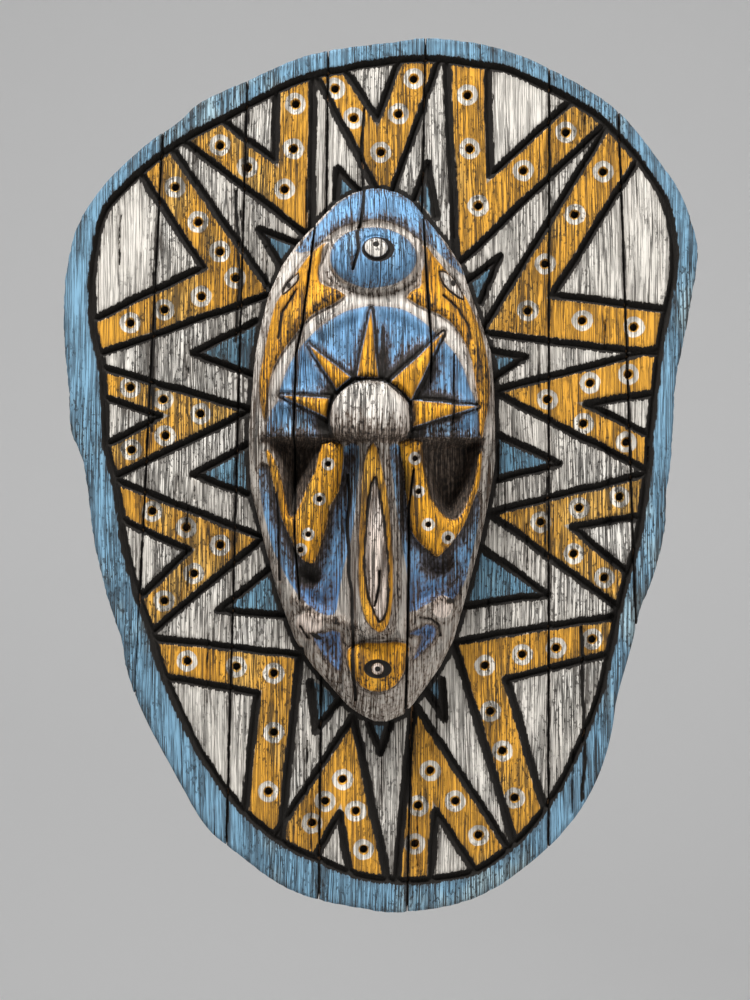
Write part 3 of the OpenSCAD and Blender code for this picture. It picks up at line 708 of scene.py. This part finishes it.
def shell_mesh(name, x, z, height, depths, fields, lean=0):
    """A closed mesh from a grid: the grid stands height in front of the planks, its border is
    repeated at the given depths behind them, moved sideways by lean, and one flat face closes
    the last ring (all mm)."""
    rows, columns = x.shape
    rim = border_loop(rows, columns)
    grid = np.stack([x.ravel(), -height.ravel(), z.ravel()], 1)
    moved = grid + np.stack([(0 * x + lean).ravel(), 0 * grid[:, 0], 0 * grid[:, 0]], 1)
    rings = [moved[rim] * (1, 0, 1) + (0, depth, 0) for depth in depths]
    points = np.vstack([grid] + rings) * MM + (shield_x, front_y, shield_z)
    n = np.arange(rows * columns).reshape(rows, columns)
    quads = np.stack([n[:-1, :-1], n[:-1, 1:], n[1:, 1:], n[1:, :-1]], -1).reshape(-1, 4)
    loops = [rim] + [rows * columns + k * len(rim) + np.arange(len(rim))
                     for k in range(len(depths))]
    walls = [np.stack([a, b, np.roll(b, -1), np.roll(a, -1)], -1)
             for a, b in zip(loops, loops[1:])]
    sides = np.vstack([quads] + walls)
    corners = np.concatenate([sides.ravel(), loops[-1][::-1]])
    mesh = bpy.data.meshes.new(name)
    mesh.vertices.add(len(points))
    mesh.vertices.foreach_set("co", points.astype(np.float32).ravel())
    mesh.loops.add(len(corners))
    mesh.loops.foreach_set("vertex_index", corners.astype(np.int32))
    mesh.polygons.add(len(sides) + 1)
    mesh.polygons.foreach_set("loop_start", np.arange(len(sides) + 1, dtype=np.int32) * 4)
    mesh.update(calc_edges=True)
    mesh.validate()
    carried = np.concatenate([np.arange(rows * columns)] + [rim] * len(depths))
    for field, values in fields.items():
        layer = mesh.attributes.new(field, "FLOAT", "POINT")
        layer.data.foreach_set("value", values.ravel()[carried].astype(np.float32))
    mesh.shade_smooth()
    mesh.set_sharp_from_angle(angle=math.radians(42))
    print(name, len(mesh.vertices), "vertices", len(mesh.polygons), "faces")
    return mesh


def add_piece(mesh, replaced, material):
    """Links the mesh as a piece at the origin that rides on the shield and stands for a node."""
    piece = bpy.data.objects.new(mesh.name, mesh)
    bpy.context.scene.collection.objects.link(piece)
    mesh.materials.append(material)
    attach(piece, "shield")
    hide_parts(replaced)


# %% [markdown]
# Shader maths reads best as ordinary formulas. This small class wraps a socket, so that an
# expression such as 1 - mask adds its own Math node, and its one method make adds any other.

# %% A small language for shaders


class Wire:
    """An output socket that can be used in formulas with numbers and other wires."""

    def __init__(self, tree, socket):
        self.tree, self.socket = tree, socket

    def make(self, kind, settings=None, out=0, **inputs):
        """Adds a node: its type, its settings first, then the values or wires of its sockets."""
        node = self.tree.nodes.new(kind)
        for key, value in (settings or {}).items():
            setattr(node, key, value)
        for key, value in inputs.items():
            place = int(key[1:]) if key[0] == "i" and key[1:].isdigit() else key.replace("_", " ")
            if isinstance(value, Wire):
                self.tree.links.new(value.socket, node.inputs[place])
            else:
                node.inputs[place].default_value = value
        return Wire(self.tree, node.outputs[out])

    def math(self, operation, a, b=0.0):
        return self.make("ShaderNodeMath", {"operation": operation}, i0=a, i1=b)

    def __add__(self, other):
        return self.math("ADD", self, other)

    def __sub__(self, other):
        return self.math("SUBTRACT", self, other)

    def __rsub__(self, other):
        return self.math("SUBTRACT", other, self)

    def __mul__(self, other):
        return self.math("MULTIPLY", self, other)

    __radd__ = __add__
    __rmul__ = __mul__

    def size(self):
        return self.math("ABSOLUTE", self)

    def low(self, other):
        return self.math("MINIMUM", self, other)

    def high(self, other):
        return self.math("MAXIMUM", self, other)

    def step(self, start, end):
        """0 where this is at start, 1 where it is at end, smooth between; start may be larger."""
        settings = {"interpolation_type": "SMOOTHSTEP"}
        if start <= end:
            return self.make("ShaderNodeMapRange", settings, i0=self, i1=start, i2=end)
        return 1 - self.make("ShaderNodeMapRange", settings, i0=self, i1=end, i2=start)

    def blend(self, first, second):
        """The first colour where this is 0 and the second where it is 1."""
        return self.make("ShaderNodeMix", {"data_type": "RGBA"}, 2, i0=self, i6=first, i7=second)


def srgb(red, green, blue, alpha=1.0):
    """A colour of 0-255 values as the linear values that a shader takes."""
    values = [v / 255 for v in (red, green, blue)]
    return [v / 12.92 if v <= 0.04045 else ((v + 0.055) / 1.055) ** 2.4 for v in values] + [alpha]


def new_material(name):
    """A material with an empty tree but for its output and one Principled BSDF."""
    material = bpy.data.materials.new(name)
    material.use_nodes = True
    tree = material.node_tree
    shader = next(n for n in tree.nodes if n.type == "BSDF_PRINCIPLED")
    coordinates = tree.nodes.new("ShaderNodeTexCoord")
    return material, shader, Wire(tree, coordinates.outputs["Object"])


def field(place, name):
    """A mesh attribute as a wire."""
    return place.make("ShaderNodeAttribute", {"attribute_name": name}, "Fac")


def noise(place, scale, detail=3.0, stretch=(1, 1, 1), roughness=0.55, offset=(0, 0, 0)):
    """Noise from 0 to 1 about 0.5; stretch multiplies the coordinates, so 0.05 draws it out."""
    moved = place.make("ShaderNodeMapping", i0=place, Location=offset, Scale=stretch)
    return moved.make("ShaderNodeTexNoise", None, "Fac", Vector=moved, Scale=scale,
                      Detail=detail, Roughness=roughness)


def plug(wire, shader, socket):
    """Links a wire into one of the Principled BSDF's sockets."""
    wire.tree.links.new(wire.socket, shader.inputs[socket])


# %% [markdown]
# Old folk paint is thin and dry. It sits in the wood's grain, so the grain shows as dark
# vertical threads; it is rubbed off the high spots; soot and dust stay in every cut; and
# painted shade darkens the cuts, holes and hollows as well.
# The same weathering serves both the planks and the face, with a few numbers changed.

# %% Weathering shared by all the painted wood
# Each paint's base colour, its deeper bands and its paler patches.
OCHRE = srgb(224, 162, 54), srgb(146, 94, 26), srgb(238, 192, 106)
WHITE = srgb(220, 214, 204), srgb(172, 164, 154), srgb(238, 234, 226)
BLUE = srgb(122, 164, 190), srgb(64, 96, 116), srgb(186, 208, 210)
TEAL = srgb(108, 154, 180), srgb(66, 102, 124), srgb(136, 176, 194)
FACE_GROUND = srgb(186, 178, 168), srgb(104, 96, 88), WHITE[0]
FACE_OCHRE = srgb(244, 172, 38), srgb(192, 120, 26), srgb(250, 198, 84)
FACE_BLUE = srgb(120, 169, 212), srgb(70, 112, 154), srgb(176, 212, 232)
FACE_WHITE = srgb(228, 220, 210), srgb(186, 176, 166), WHITE[2]
WARM_WHITE = srgb(242, 224, 210), srgb(222, 204, 190), srgb(250, 242, 234)
DEEP_BLUE = srgb(62, 94, 146)
# The darks below serve both soot and painted shade: the grain's threads, specks, wear and black
# paint, and also the painted shade in holes, cuts and hollows.
SOOT_AND_SHADE = srgb(28, 24, 20)
BROWN_SOOT_AND_SHADE = srgb(56, 42, 30)
WARM_SOOT_AND_SHADE = srgb(92, 66, 44)


def grain_wires(place):
    """The wood's grain as wires from 0 to 1: threads, bands, patches, specks and ragged edges."""
    warp = noise(place, 14, 2, (1, 1, 0.3))
    bent = place.make("ShaderNodeVectorMath", {"operation": "MULTIPLY_ADD"},
                      i0=warp, i1=(0.012, 0, 0), i2=place)
    fine = noise(bent, 2000, 2, (1, 0.06, 0.018), 0.6)
    medium = noise(bent, 480, 4, (1, 0.06, 0.026), 0.6, (3, 0, 0))
    broad = noise(place, 34, 4, (1, 0.5, 0.5), 0.6, (7, 0, 2))
    specks = noise(place, 900, 2, (1, 1, 0.5), 0.5, (1, 0, 5))
    ragged = noise(bent, 1100, 2, (1, 0.06, 0.1), 0.5, (0, 0, 9))
    streak = fine.step(0.495, 0.55) * (0.55 + 0.45 * (medium * 0.7 + broad * 0.5).step(0.50, 0.66))
    crack = (medium - 0.5).size().step(0.034, 0.006) * broad.step(0.34, 0.56)
    return {"fine": fine, "medium": medium, "broad": broad, "specks": specks,
            "ragged": ragged, "thread": streak.high(crack)}


def painted(grain, paint):
    """One paint: its base colour, deeper in bands along the grain and paler in patches."""
    base, deep, pale = paint
    first = (grain["medium"].step(0.52, 0.70) * 0.6).blend(base, deep)
    return (grain["broad"].step(0.50, 0.70) * 0.7).blend(first, pale)


def finish_paint(place, shader, colour, grain, grime_and_shade, dirt_and_shade=BROWN_SOOT_AND_SHADE, threads=0.9, brown=0.7):
    """Lays dark threads, bare wood, grime with painted shade, and specks over the paint and sets
    its roughness.
    """
    thread, medium, specks = grain["thread"], grain["medium"], grain["specks"]
    colour = (thread * threads).blend(colour, SOOT_AND_SHADE)
    worn = (medium * 0.6 + grain["broad"] * 0.7).step(0.80, 0.90) * 0.6
    colour = worn.blend(colour, BROWN_SOOT_AND_SHADE)
    pits = specks.step(0.58, 0.65) * grain["broad"].step(0.34, 0.56)
    colour = (pits * 0.7).blend(colour, SOOT_AND_SHADE)
    # Grime and painted shade: browned first, then black where they are strongest.
    colour = (grime_and_shade.low(1.0) * brown).blend(colour, dirt_and_shade)
    colour = grime_and_shade.step(0.45, 0.95).blend(colour, SOOT_AND_SHADE)
    plug(colour, shader, "Base Color")
    plug(0.55 + 0.3 * grain["fine"] + 0.1 * grime_and_shade.low(1.0), shader, "Roughness")
    relief = medium * 0.6 - thread * 0.6 + grain["fine"] * 0.35 - pits * 0.3
    bumped = place.make("ShaderNodeBump", Height=relief, Strength=0.8, Distance=0.0013)
    plug(bumped, shader, "Normal")
    shader.inputs["Specular IOR Level"].default_value = 0.3


# %% [markdown]
# The planks carry ochre pennants with round dots on a grey-white ground and a worn blue rim.
# The masks are the fields that the carving used, so each colour ends inside its own cut.

# %% The planks' paint
plank_paint, shader, place = new_material("painted planks")
grain = grain_wires(place)
is_rim = field(place, "rim").step(0.4, -0.4)
is_ochre = field(place, "ochre").step(0.6, -0.3)
is_spike = field(place, "spike").step(0.6, -0.3)
dot, cut, seam, edge, foot = (field(place, name)
                              for name in ("dot", "cut", "seam", "edge", "foot"))
colour = painted(grain, WHITE)
for mask, paint in [(is_ochre, OCHRE), (is_spike, TEAL), (is_rim, BLUE)]:
    colour = mask.blend(colour, painted(grain, paint))
soft = noise(place, 300, 3, roughness=0.6, offset=(2, 2, 2))
rough = (grain["ragged"] - 0.5) * 2.4 + (soft - 0.5) * 1.6
painted_dot = dot + (soft - 0.5) * 1.6
ring = painted_dot.step(5.1, 4.5) * painted_dot.step(2.2, 2.7)
colour = (ring * 0.96).blend(colour, srgb(232, 226, 214))
# Black paint in the channels and dark joints; soot and painted shade fading out beside the channels
# and joints; painted shade in the drilled holes; darker near the outer edge; and round the face's
# foot a dark line with painted shadow fading out from it.
groove_dark = (cut + rough).step(2.6, 1.7)
groove_soot_and_shade = (cut + rough * 2.2).step(4.4, 1.6) * 0.45
hole_shade = (dot + (soft - 0.5) * 0.8).step(2.0, 1.5)
seam_dark = (seam + rough * 0.6).step(0.8, 0.1)
seam_soot_and_shade = (seam + rough * 2.0).step(4.0, 0.8) * 0.4
edge_halo = (edge + rough * 2.0).step(5.0, 0.6) * 0.4
foot_line_and_shadow = (foot + rough).step(3.4, 2.0)
foot_shade = ((foot + rough * 2).step(9.0, 2.0) * 0.5).high(foot.step(36.0, 2.0) * 0.2)
grime_and_shade = groove_dark.high(hole_shade).high(seam_dark).high(foot_line_and_shadow).high(foot_shade)
grime_and_shade = grime_and_shade.high(groove_soot_and_shade).high(seam_soot_and_shade).high(edge_halo)
finish_paint(place, shader, colour, grain, grime_and_shade)

# %% [markdown]
# The face has the same three paints, in brighter shades than on the planks, and a smoky black
# that is partly soot rubbed in and partly painted shade: round the eyes, between and under the
# rays, under the brow and the cheeks, and down the sides of the nose.

# %% The face's paint
face_paint, shader, place = new_material("painted face")
grain = grain_wires(place)
is_blue = field(place, "blue").step(0.5, -0.3)
is_ochre = field(place, "ochre").step(0.5, -0.3)
is_white = field(place, "white").step(0.4, -0.3)
is_black = field(place, "black").step(0.3, -0.3)
soot_and_shade, dot, line, seam, below = (field(place, name)
                                 for name in ("soot_and_shade", "dot", "line", "seam", "pale"))
# Whiter above the brow, deeper blue low down, and warmer white on the nose and the bulbs.
white = below.step(0.0, 6.0).blend(painted(grain, FACE_WHITE), painted(grain, WARM_WHITE))
blue = (below.step(52.0, 76.0) * 0.62).blend(painted(grain, FACE_BLUE), DEEP_BLUE)
colour = below.step(4.0, -4.0).blend(painted(grain, FACE_GROUND), white)
for mask, coat in [(is_ochre, painted(grain, FACE_OCHRE)), (is_blue, blue), (is_white, white)]:
    colour = mask.blend(colour, coat)
soft = noise(place, 300, 3, roughness=0.6, offset=(2, 2, 2))
rough = (grain["ragged"] - 0.5) * 1.6 + (soft - 0.5) * 1.2
painted_dot = dot + (soft - 0.5) * 0.8
ring = painted_dot.step(3.2, 2.7) * painted_dot.step(1.2, 1.6)
colour = (ring * 0.95).blend(colour, srgb(234, 228, 218))
# Dark outlines along the carved edges, partly black paint and partly painted shade; soot and
# painted shade fading out beside them and beside the cracks and joints; painted shade in the
# drilled holes.
line_dark = (line + rough).step(1.3, 0.2) * 0.9
outline_soot_and_shade = (line + rough * 2.0).step(3.2, 0.6) * 0.45
seam_dark = (seam + rough * 0.5).step(0.8, 0.1)
seam_soot_and_shade = (seam + rough * 2.0).step(2.8, 0.6) * 0.35
hole_shade = dot.step(1.5, 1.1)
# The face's soot and painted shade, speckled by the grain, browned at mid strength and black where
# it is strongest.
soot_and_shade_speckle = (grain["fine"] - 0.5) * 1.5 + (grain["specks"] - 0.5) * 1.3 + (soft - 0.5) * 0.5
soot_and_shade_speckle = soot_and_shade_speckle * soot_and_shade.step(0.02, 0.35) * (1 - soot_and_shade.step(0.55, 0.72) * 0.7)
dark_soot_and_shade = (soot_and_shade + soot_and_shade_speckle).step(0.05, 1.0)
colour = ((soot_and_shade + soot_and_shade_speckle * 0.6).step(0.34, 0.66) * 0.5).blend(colour, WARM_SOOT_AND_SHADE)
grime_and_shade = line_dark.high(seam_dark).high(hole_shade).high(is_black)
grime_and_shade = grime_and_shade.high(outline_soot_and_shade).high(seam_soot_and_shade).high(dark_soot_and_shade)
finish_paint(place, shader, colour, grain, grime_and_shade, WARM_SOOT_AND_SHADE, 0.92, 0.85)

# %% [markdown]
# The back was never painted. Plain sawn wood there, darkened by age, with the same grain
# running up the planks, needs only two browns and a fine bump.

# %% Bare wood, steel and brass


def bare_wood(name, light, dark):
    """Sawn softwood: brown bands along the grain, fine dark pores, dry and matt."""
    material, shader, place = new_material(name)
    grain = grain_wires(place)
    fine, medium = grain["fine"], grain["medium"]
    colour = (medium * 0.7 + grain["broad"] * 0.5).step(0.42, 0.78).blend(light, dark)
    colour = (grain["thread"] * 0.6).blend(colour, SOOT_AND_SHADE)
    plug(colour, shader, "Base Color")
    plug(0.62 + 0.25 * fine, shader, "Roughness")
    bumped = place.make("ShaderNodeBump", Height=medium * 0.6 + fine * 0.5, Strength=0.5,
                        Distance=0.0005)
    plug(bumped, shader, "Normal")
    return material


def dull_metal(name, clean, stained, roughness):
    """Old cast or rolled metal: clean in places, stained in patches, finely scratched."""
    material, shader, place = new_material(name)
    patches = noise(place, 180, 4, roughness=0.6)
    scratches = noise(place, 1400, 2, (1, 0.1, 1), 0.5, (4, 1, 0))
    plug(patches.step(0.42, 0.66).blend(clean, stained), shader, "Base Color")
    plug(1.0 - patches.step(0.5, 0.75) * 0.35, shader, "Metallic")
    plug(roughness + 0.25 * patches + 0.08 * scratches, shader, "Roughness")
    bumped = place.make("ShaderNodeBump", Height=scratches + patches, Strength=0.25,
                        Distance=0.0002)
    plug(bumped, shader, "Normal")
    return material


plank_back = bare_wood("bare plank", srgb(134, 100, 66), srgb(84, 58, 36))
batten_wood = bare_wood("batten wood", srgb(150, 112, 72), srgb(98, 68, 42))
screw_steel = dull_metal("screw steel", srgb(168, 168, 166), srgb(96, 84, 72), 0.34)
old_brass = dull_metal("old brass", srgb(176, 140, 74), srgb(88, 64, 34), 0.32)
print("materials", [material.name for material in bpy.data.materials])

# %% [markdown]
# Each plank is carved on its own grid, and the fields that shaped it are kept as attributes.
# The back and the side walls below the paint are bare wood: faces whose middle lies deeper get it.

# %% Make the planks


def bare_behind(mesh, deepest):
    """Gives faces whose middle lies deeper than deepest (mm behind the front) the second
    material: for each face the mean y of its corners is compared."""
    count = len(mesh.polygons)
    centres = np.empty(count * 3, np.float32)
    mesh.polygons.foreach_get("center", centres)
    behind = centres.reshape(-1, 3)[:, 1] > front_y + deepest * MM
    mesh.polygons.foreach_set("material_index", behind.astype(np.int32))


for k, node in enumerate(PLANKS):
    outer = k in (0, len(PLANKS) - 1)
    x, z = outer_plank_grid(k) if outer else inner_plank_grid(k)
    box_low, box_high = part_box(node)
    x = np.clip(x, (box_low[0] - shield_x) / MM + 0.01, (box_high[0] - shield_x) / MM - 0.01)
    fields = shield_fields(x, z)
    side = np.zeros_like(x)
    side[:, 0] = -1 if k > 0 else 0
    side[:, -1] = 1 if k < len(PLANKS) - 1 else 0
    lean = side * (JOINT_GAP - CLOSED_GAP) / 2 * ease((fields["edge"] - 1) / 2)
    height = shield_height(x, z, fields)
    mesh = shell_mesh(f"plank_{k + 1}", x, z, height, [PAINTED_SIDE, plank_t], fields, lean)
    add_piece(mesh, node, plank_paint)
    mesh.materials.append(plank_back)
    bare_behind(mesh, PAINTED_SIDE - 0.1)

# %% [markdown]
# On the face several carved regions share one paint, so their distances are gathered first:
# the least of two signed distances is both shapes together, the greatest is their overlap.
# Soot and painted shade are a strength from 0 to 1 instead; the strongest of many soft patches
# wins.

# %% The face's masks and smoke


def near(d, reach):
    """1 where the distance d is 0, fading to 0 at reach on both sides of it."""
    return ease(1 - np.abs(d) / reach)


def spot(x, z, centre, radii):
    """1 within half the radii of centre, fading to 0 at one and a half times the radii."""
    return ease(1.5 - np.hypot((x - centre[0]) / radii[0], (z - centre[1]) / radii[1]))


def face_soot_and_shade(f, rays, above, below):
    """Soot and painted shade on the face, from 0 to 1: the darkest of many soft patches."""
    # Partly soot and partly painted shade: beside and under the rays, round the foot of the brow's
    # dome and under the brow, in the crease round the third eye and on its lower side, at the cap's
    # sides, along the ears' inner edges, at the feet and lower edges of the cheeks, in the sockets,
    # pits and pools, on the strips, wings and sides of the nose, under the bulbs and round the
    # face's edge; and darker towards the chin.
    x, z = f["x"], f["z"]
    beside_rays = (rays > 0.2) * (f["brow_dome"] > 0)
    reach = np.where(x > 0, 14.0, 7.0)
    near_rays = np.where(x > 0, 0.92, 0.72) * ease((reach - rays) / reach) * ease(-f["fan"] / 11)
    round_dome = 0.95 * ease((17 - f["brow_dome"]) / 16)
    dome_rim = 0.8 * ease((2.5 - f["brow_dome"]) / 2) * (f["brow_dome"] > 0)
    off_edge = ease((f["edge"] - 3) / 4)
    brow = np.where(f["brow_dome"] < 0, 0.68 * ease((BROW_Z + 20 - z) / 20),
                    0.64 * ease((BROW_Z + 12 - z) / 12) * off_edge)
    off_cheeks = f["cheeks"] > 0
    cheek_foot = 0.72 * ease((11 - f["cheeks"]) / 10) * off_cheeks * ease((16 - z) / 8)
    cheek_rim = 0.45 * ease((f["cheeks"] + 3.5) / 3.5) * ~off_cheeks * ease((-4 - z) / 12)
    strips = (0.42 + 0.2 * ease((z + 34) / 14) * (x > 0)) * ease(-f["strips"] / 2) * off_cheeks
    forehead = [near_rays * beside_rays, round_dome * beside_rays, dome_rim, brow]
    lower = [cheek_foot * np.where(f["strips"] < 2, 1, 0.5), cheek_rim, strips,
             0.73 * ease((2.0 - f["sockets"]) / 2.5),
             0.7 * ease((z - BROW_Z + 7) / 6) * off_edge,
             np.where(x > -2, 0.55, 0.3) * near(f["leaf"] - 2.5, 3.5)]
    everywhere = [
        0.68 * ease((9 - f["bump_ring"]) / 9) * ease(1.5 - f["cap"]),
        0.5 * ease((np.abs(x + 2) - 18) / 14) * ease(1.5 - f["cap"]),
        0.35 * near(f["bump"] + 1, 6) * ease((97 - z) / 10),
        0.5 * near(f["bump_ring"], 4) * ease((96 - z) / 6),
        0.55 * ease((15 - f["fan"]) / 6) * (f["ears"] < 0),
        0.85 * spot(x, z, (-33, -45), (7, 8)) * off_cheeks,
        0.72 * spot(x, z, (25, -40), (10, 9)) * off_cheeks,
        0.5 * ease(-f["pools"] / 2), 0.6 * near(f["pools"] - 0.5, 4),
        0.6 * near(f["wings"], 7), 0.5 * near(f["bulbs"] - 2, 3),
        0.95 * spot(x, z + 0.5 * (x + 29.5), (-29.5, -73.6), (3, 1.4)),
        0.8 * spot(x, z, (31.5, -57.5), (2.4, 1.6)),
        0.45 * near(f["edge"], 5), 0.4 * ease((-70 - z) / 16)]
    return np.maximum.reduce([above * np.maximum.reduce(forehead),
                              below * np.maximum.reduce(lower)] + everywhere)


def face_paint_fields(f):
    """The paint's masks: signed distances for each colour, dark lines, and soot with painted shade
    from 0 to 1.
    """
    z = f["z"]
    above = z > BROW_Z
    below = ~above
    rays = np.where(above, np.maximum(f["rays"], -f["brow_dome"] - 1), 9)
    leaf, lens, cheeks = (np.where(below, f[name], 9) for name in ("leaf", "lens", "cheeks"))
    fan = np.where(above, np.maximum.reduce([f["fan"], -rays, -f["brow_dome"]]), 9)
    ochre = np.minimum.reduce([f["ears"], rays, cheeks, np.maximum(leaf, -lens), f["mouth"]])
    blue = np.minimum.reduce([
        np.maximum(f["cap"], -f["bump_ring"]), fan, f["pools"], f["bump"],
        np.where(below, np.maximum(f["strips"], -f["cheeks"]), 9)])
    white = np.minimum.reduce([
        np.maximum(f["bump_ring"], -f["bump"]), f["eye_disc"], f["side_eyes"], lens, f["bulbs"],
        np.where(above, f["brow_dome"], 9), f["mouth_iris"]])
    black = np.minimum.reduce([
        np.maximum(f["eye_black"], -f["eye_disc"]), f["pupil"], f["left_pupil"],
        np.maximum(f["mouth_eye"], -f["mouth_iris"]), f["mouth_pupil"], f["right_pupil"]])
    lines = np.minimum.reduce([
        np.abs(f["side_eyes"] - 0.4) * 1.5, f["slots"], np.where(above, np.abs(rays - 1.0), 9),
        np.where(above, np.abs(f["fan"] - 0.3) + 0.7, 9), np.abs(f["ears"] - 0.6) + 0.6,
        np.abs(leaf - 0.4) + 0.5, np.abs(lens - 0.2) * 0.9, np.abs(f["mouth"] - 0.6) + 0.45,
        np.abs(f["pools"] - 0.4) + 0.5, np.abs(f["cap"] - 0.3) + 0.8,
        np.abs(f["bump_ring"] - 0.4) + 0.7, np.abs(f["bump"]) + 0.9])
    return {"ochre": ochre, "blue": blue, "white": white, "black": black, "line": lines,
            "soot_and_shade": face_soot_and_shade(f, rays, above, below), "pale": BROW_Z - z,
            "dot": f["dot"], "seam": f["seam"]}


# %% [markdown]
# The three staves of the face are carved in the same way as the planks, on finer grids
# because their details are smaller.

# %% Make the face
for which, node in enumerate(STAVES):
    x, z = stave_grid(which)
    fields = face_fields(x, z)
    height = face_height(x, z, fields)
    mesh = shell_mesh(node.replace("stave", "board"), x, z, height, [0],
                      face_paint_fields(fields))
    add_piece(mesh, node, face_paint)
    print(node, "rises", round(float(height.max()), 1), "mm")

# %% [markdown]
# The battens, screws, strap and ring keep their CAD shapes, which are already right for sawn
# wood and bought metal parts. They only get their materials.

# %% Finish the CAD parts
for node, material, slot_name in [
        ("batten_upper", batten_wood, "batten_wood"), ("batten_lower", batten_wood, "batten_wood"),
        ("batten_screws", screw_steel, "zinc_steel"), ("face_screws", screw_steel, "zinc_steel"),
        ("hanger_screws", screw_steel, "zinc_steel"), ("hanger_strap", old_brass, "brass"),
        ("hanger_ring", old_brass, "brass")]:
    part = bpy.data.objects[node]
    part.data.materials.clear()
    part.data.materials.append(material)
    print(node, "is", material.name)

# %% [markdown]
# The mask hangs in front of a pale backdrop, well clear of it. A strong light from the upper
# left throws short soft shadows, a weak one from the lower right opens them, and a third
# from behind lights the back.

# %% Floor, backdrop, lights and camera
middle_x = (shield_low[0] + shield_high[0]) / 2
middle_z = (shield_low[2] + shield_high[2]) / 2
tall = shield_high[2] - shield_low[2]


def add_sweep(width, near, far, floor_z, top_z, bend):
    """A photographer's sweep: a floor that curves up into a backdrop through a quarter circle."""
    angles = np.linspace(0, np.pi / 2, 24)
    ys = np.concatenate([[near], far - bend + bend * np.sin(angles), [far]])
    zs = np.concatenate([[floor_z], floor_z + bend * (1 - np.cos(angles)), [top_z]])
    points = [(x, y, z) for x in (middle_x - width / 2, middle_x + width / 2)
              for y, z in zip(ys, zs)]
    count = len(ys)
    faces = [(i, i + count, i + count + 1, i + 1) for i in range(count - 1)]
    mesh = bpy.data.meshes.new("backdrop")
    mesh.from_pydata(points, [], faces)
    mesh.shade_smooth()
    backdrop = bpy.data.objects.new("backdrop", mesh)
    bpy.context.scene.collection.objects.link(backdrop)
    return backdrop


backdrop = add_sweep(24 * tall, -12 * tall, 7.5 * tall, shield_low[2] - 1.6 * tall, 9 * tall,
                     2 * tall)
paper, shader, place = new_material("backdrop paper")
shader.inputs["Base Color"].default_value = srgb(240, 240, 240)
shader.inputs["Roughness"].default_value = 0.9
backdrop.data.materials.append(paper)


def add_light(name, place, size, watts, target):
    """A square area light of the given size in metres that shines from place at target."""
    light = bpy.data.lights.new(name, "AREA")
    light.energy = watts
    light.size = size
    lamp = bpy.data.objects.new(name, light)
    bpy.context.scene.collection.objects.link(lamp)
    lamp.location = place
    towards = [t - p for t, p in zip(target, place)]
    lamp.rotation_mode = "QUATERNION"
    lamp.rotation_quaternion = Vector(towards).to_track_quat("-Z", "Y")


target = (middle_x, front_y, middle_z)
add_light("key", (middle_x - 0.9 * tall, -1.7 * tall, middle_z + 3.3 * tall), 0.4, 40, target)
add_light("fill", (middle_x + 3 * tall, -3 * tall, middle_z - 0.6 * tall), 1.2, 12, target)
add_light("back", (middle_x + 1.5 * tall, 3 * tall, middle_z + 2.5 * tall), 1.0, 14, target)

world = bpy.data.worlds.new("studio")
bpy.context.scene.world = world
world.use_nodes = True
world.node_tree.nodes["Background"].inputs["Color"].default_value = (1, 1, 1, 1)
world.node_tree.nodes["Background"].inputs["Strength"].default_value = 0.22

camera = bpy.data.objects.new("camera", bpy.data.cameras.new("camera"))
bpy.context.scene.collection.objects.link(camera)
camera.data.lens = 86.8
camera.data.sensor_width = 36
camera.location = (shield_x + VIEW_CENTRE[0] * MM, front_y - 2.75 * tall,
                   shield_z + VIEW_CENTRE[1] * MM)
camera.rotation_mode = "QUATERNION"
camera.rotation_quaternion = Vector((0, 1, 0)).to_track_quat("-Z", "Y")
bpy.context.scene.camera = camera
bpy.context.scene.view_settings.view_transform = "Standard"
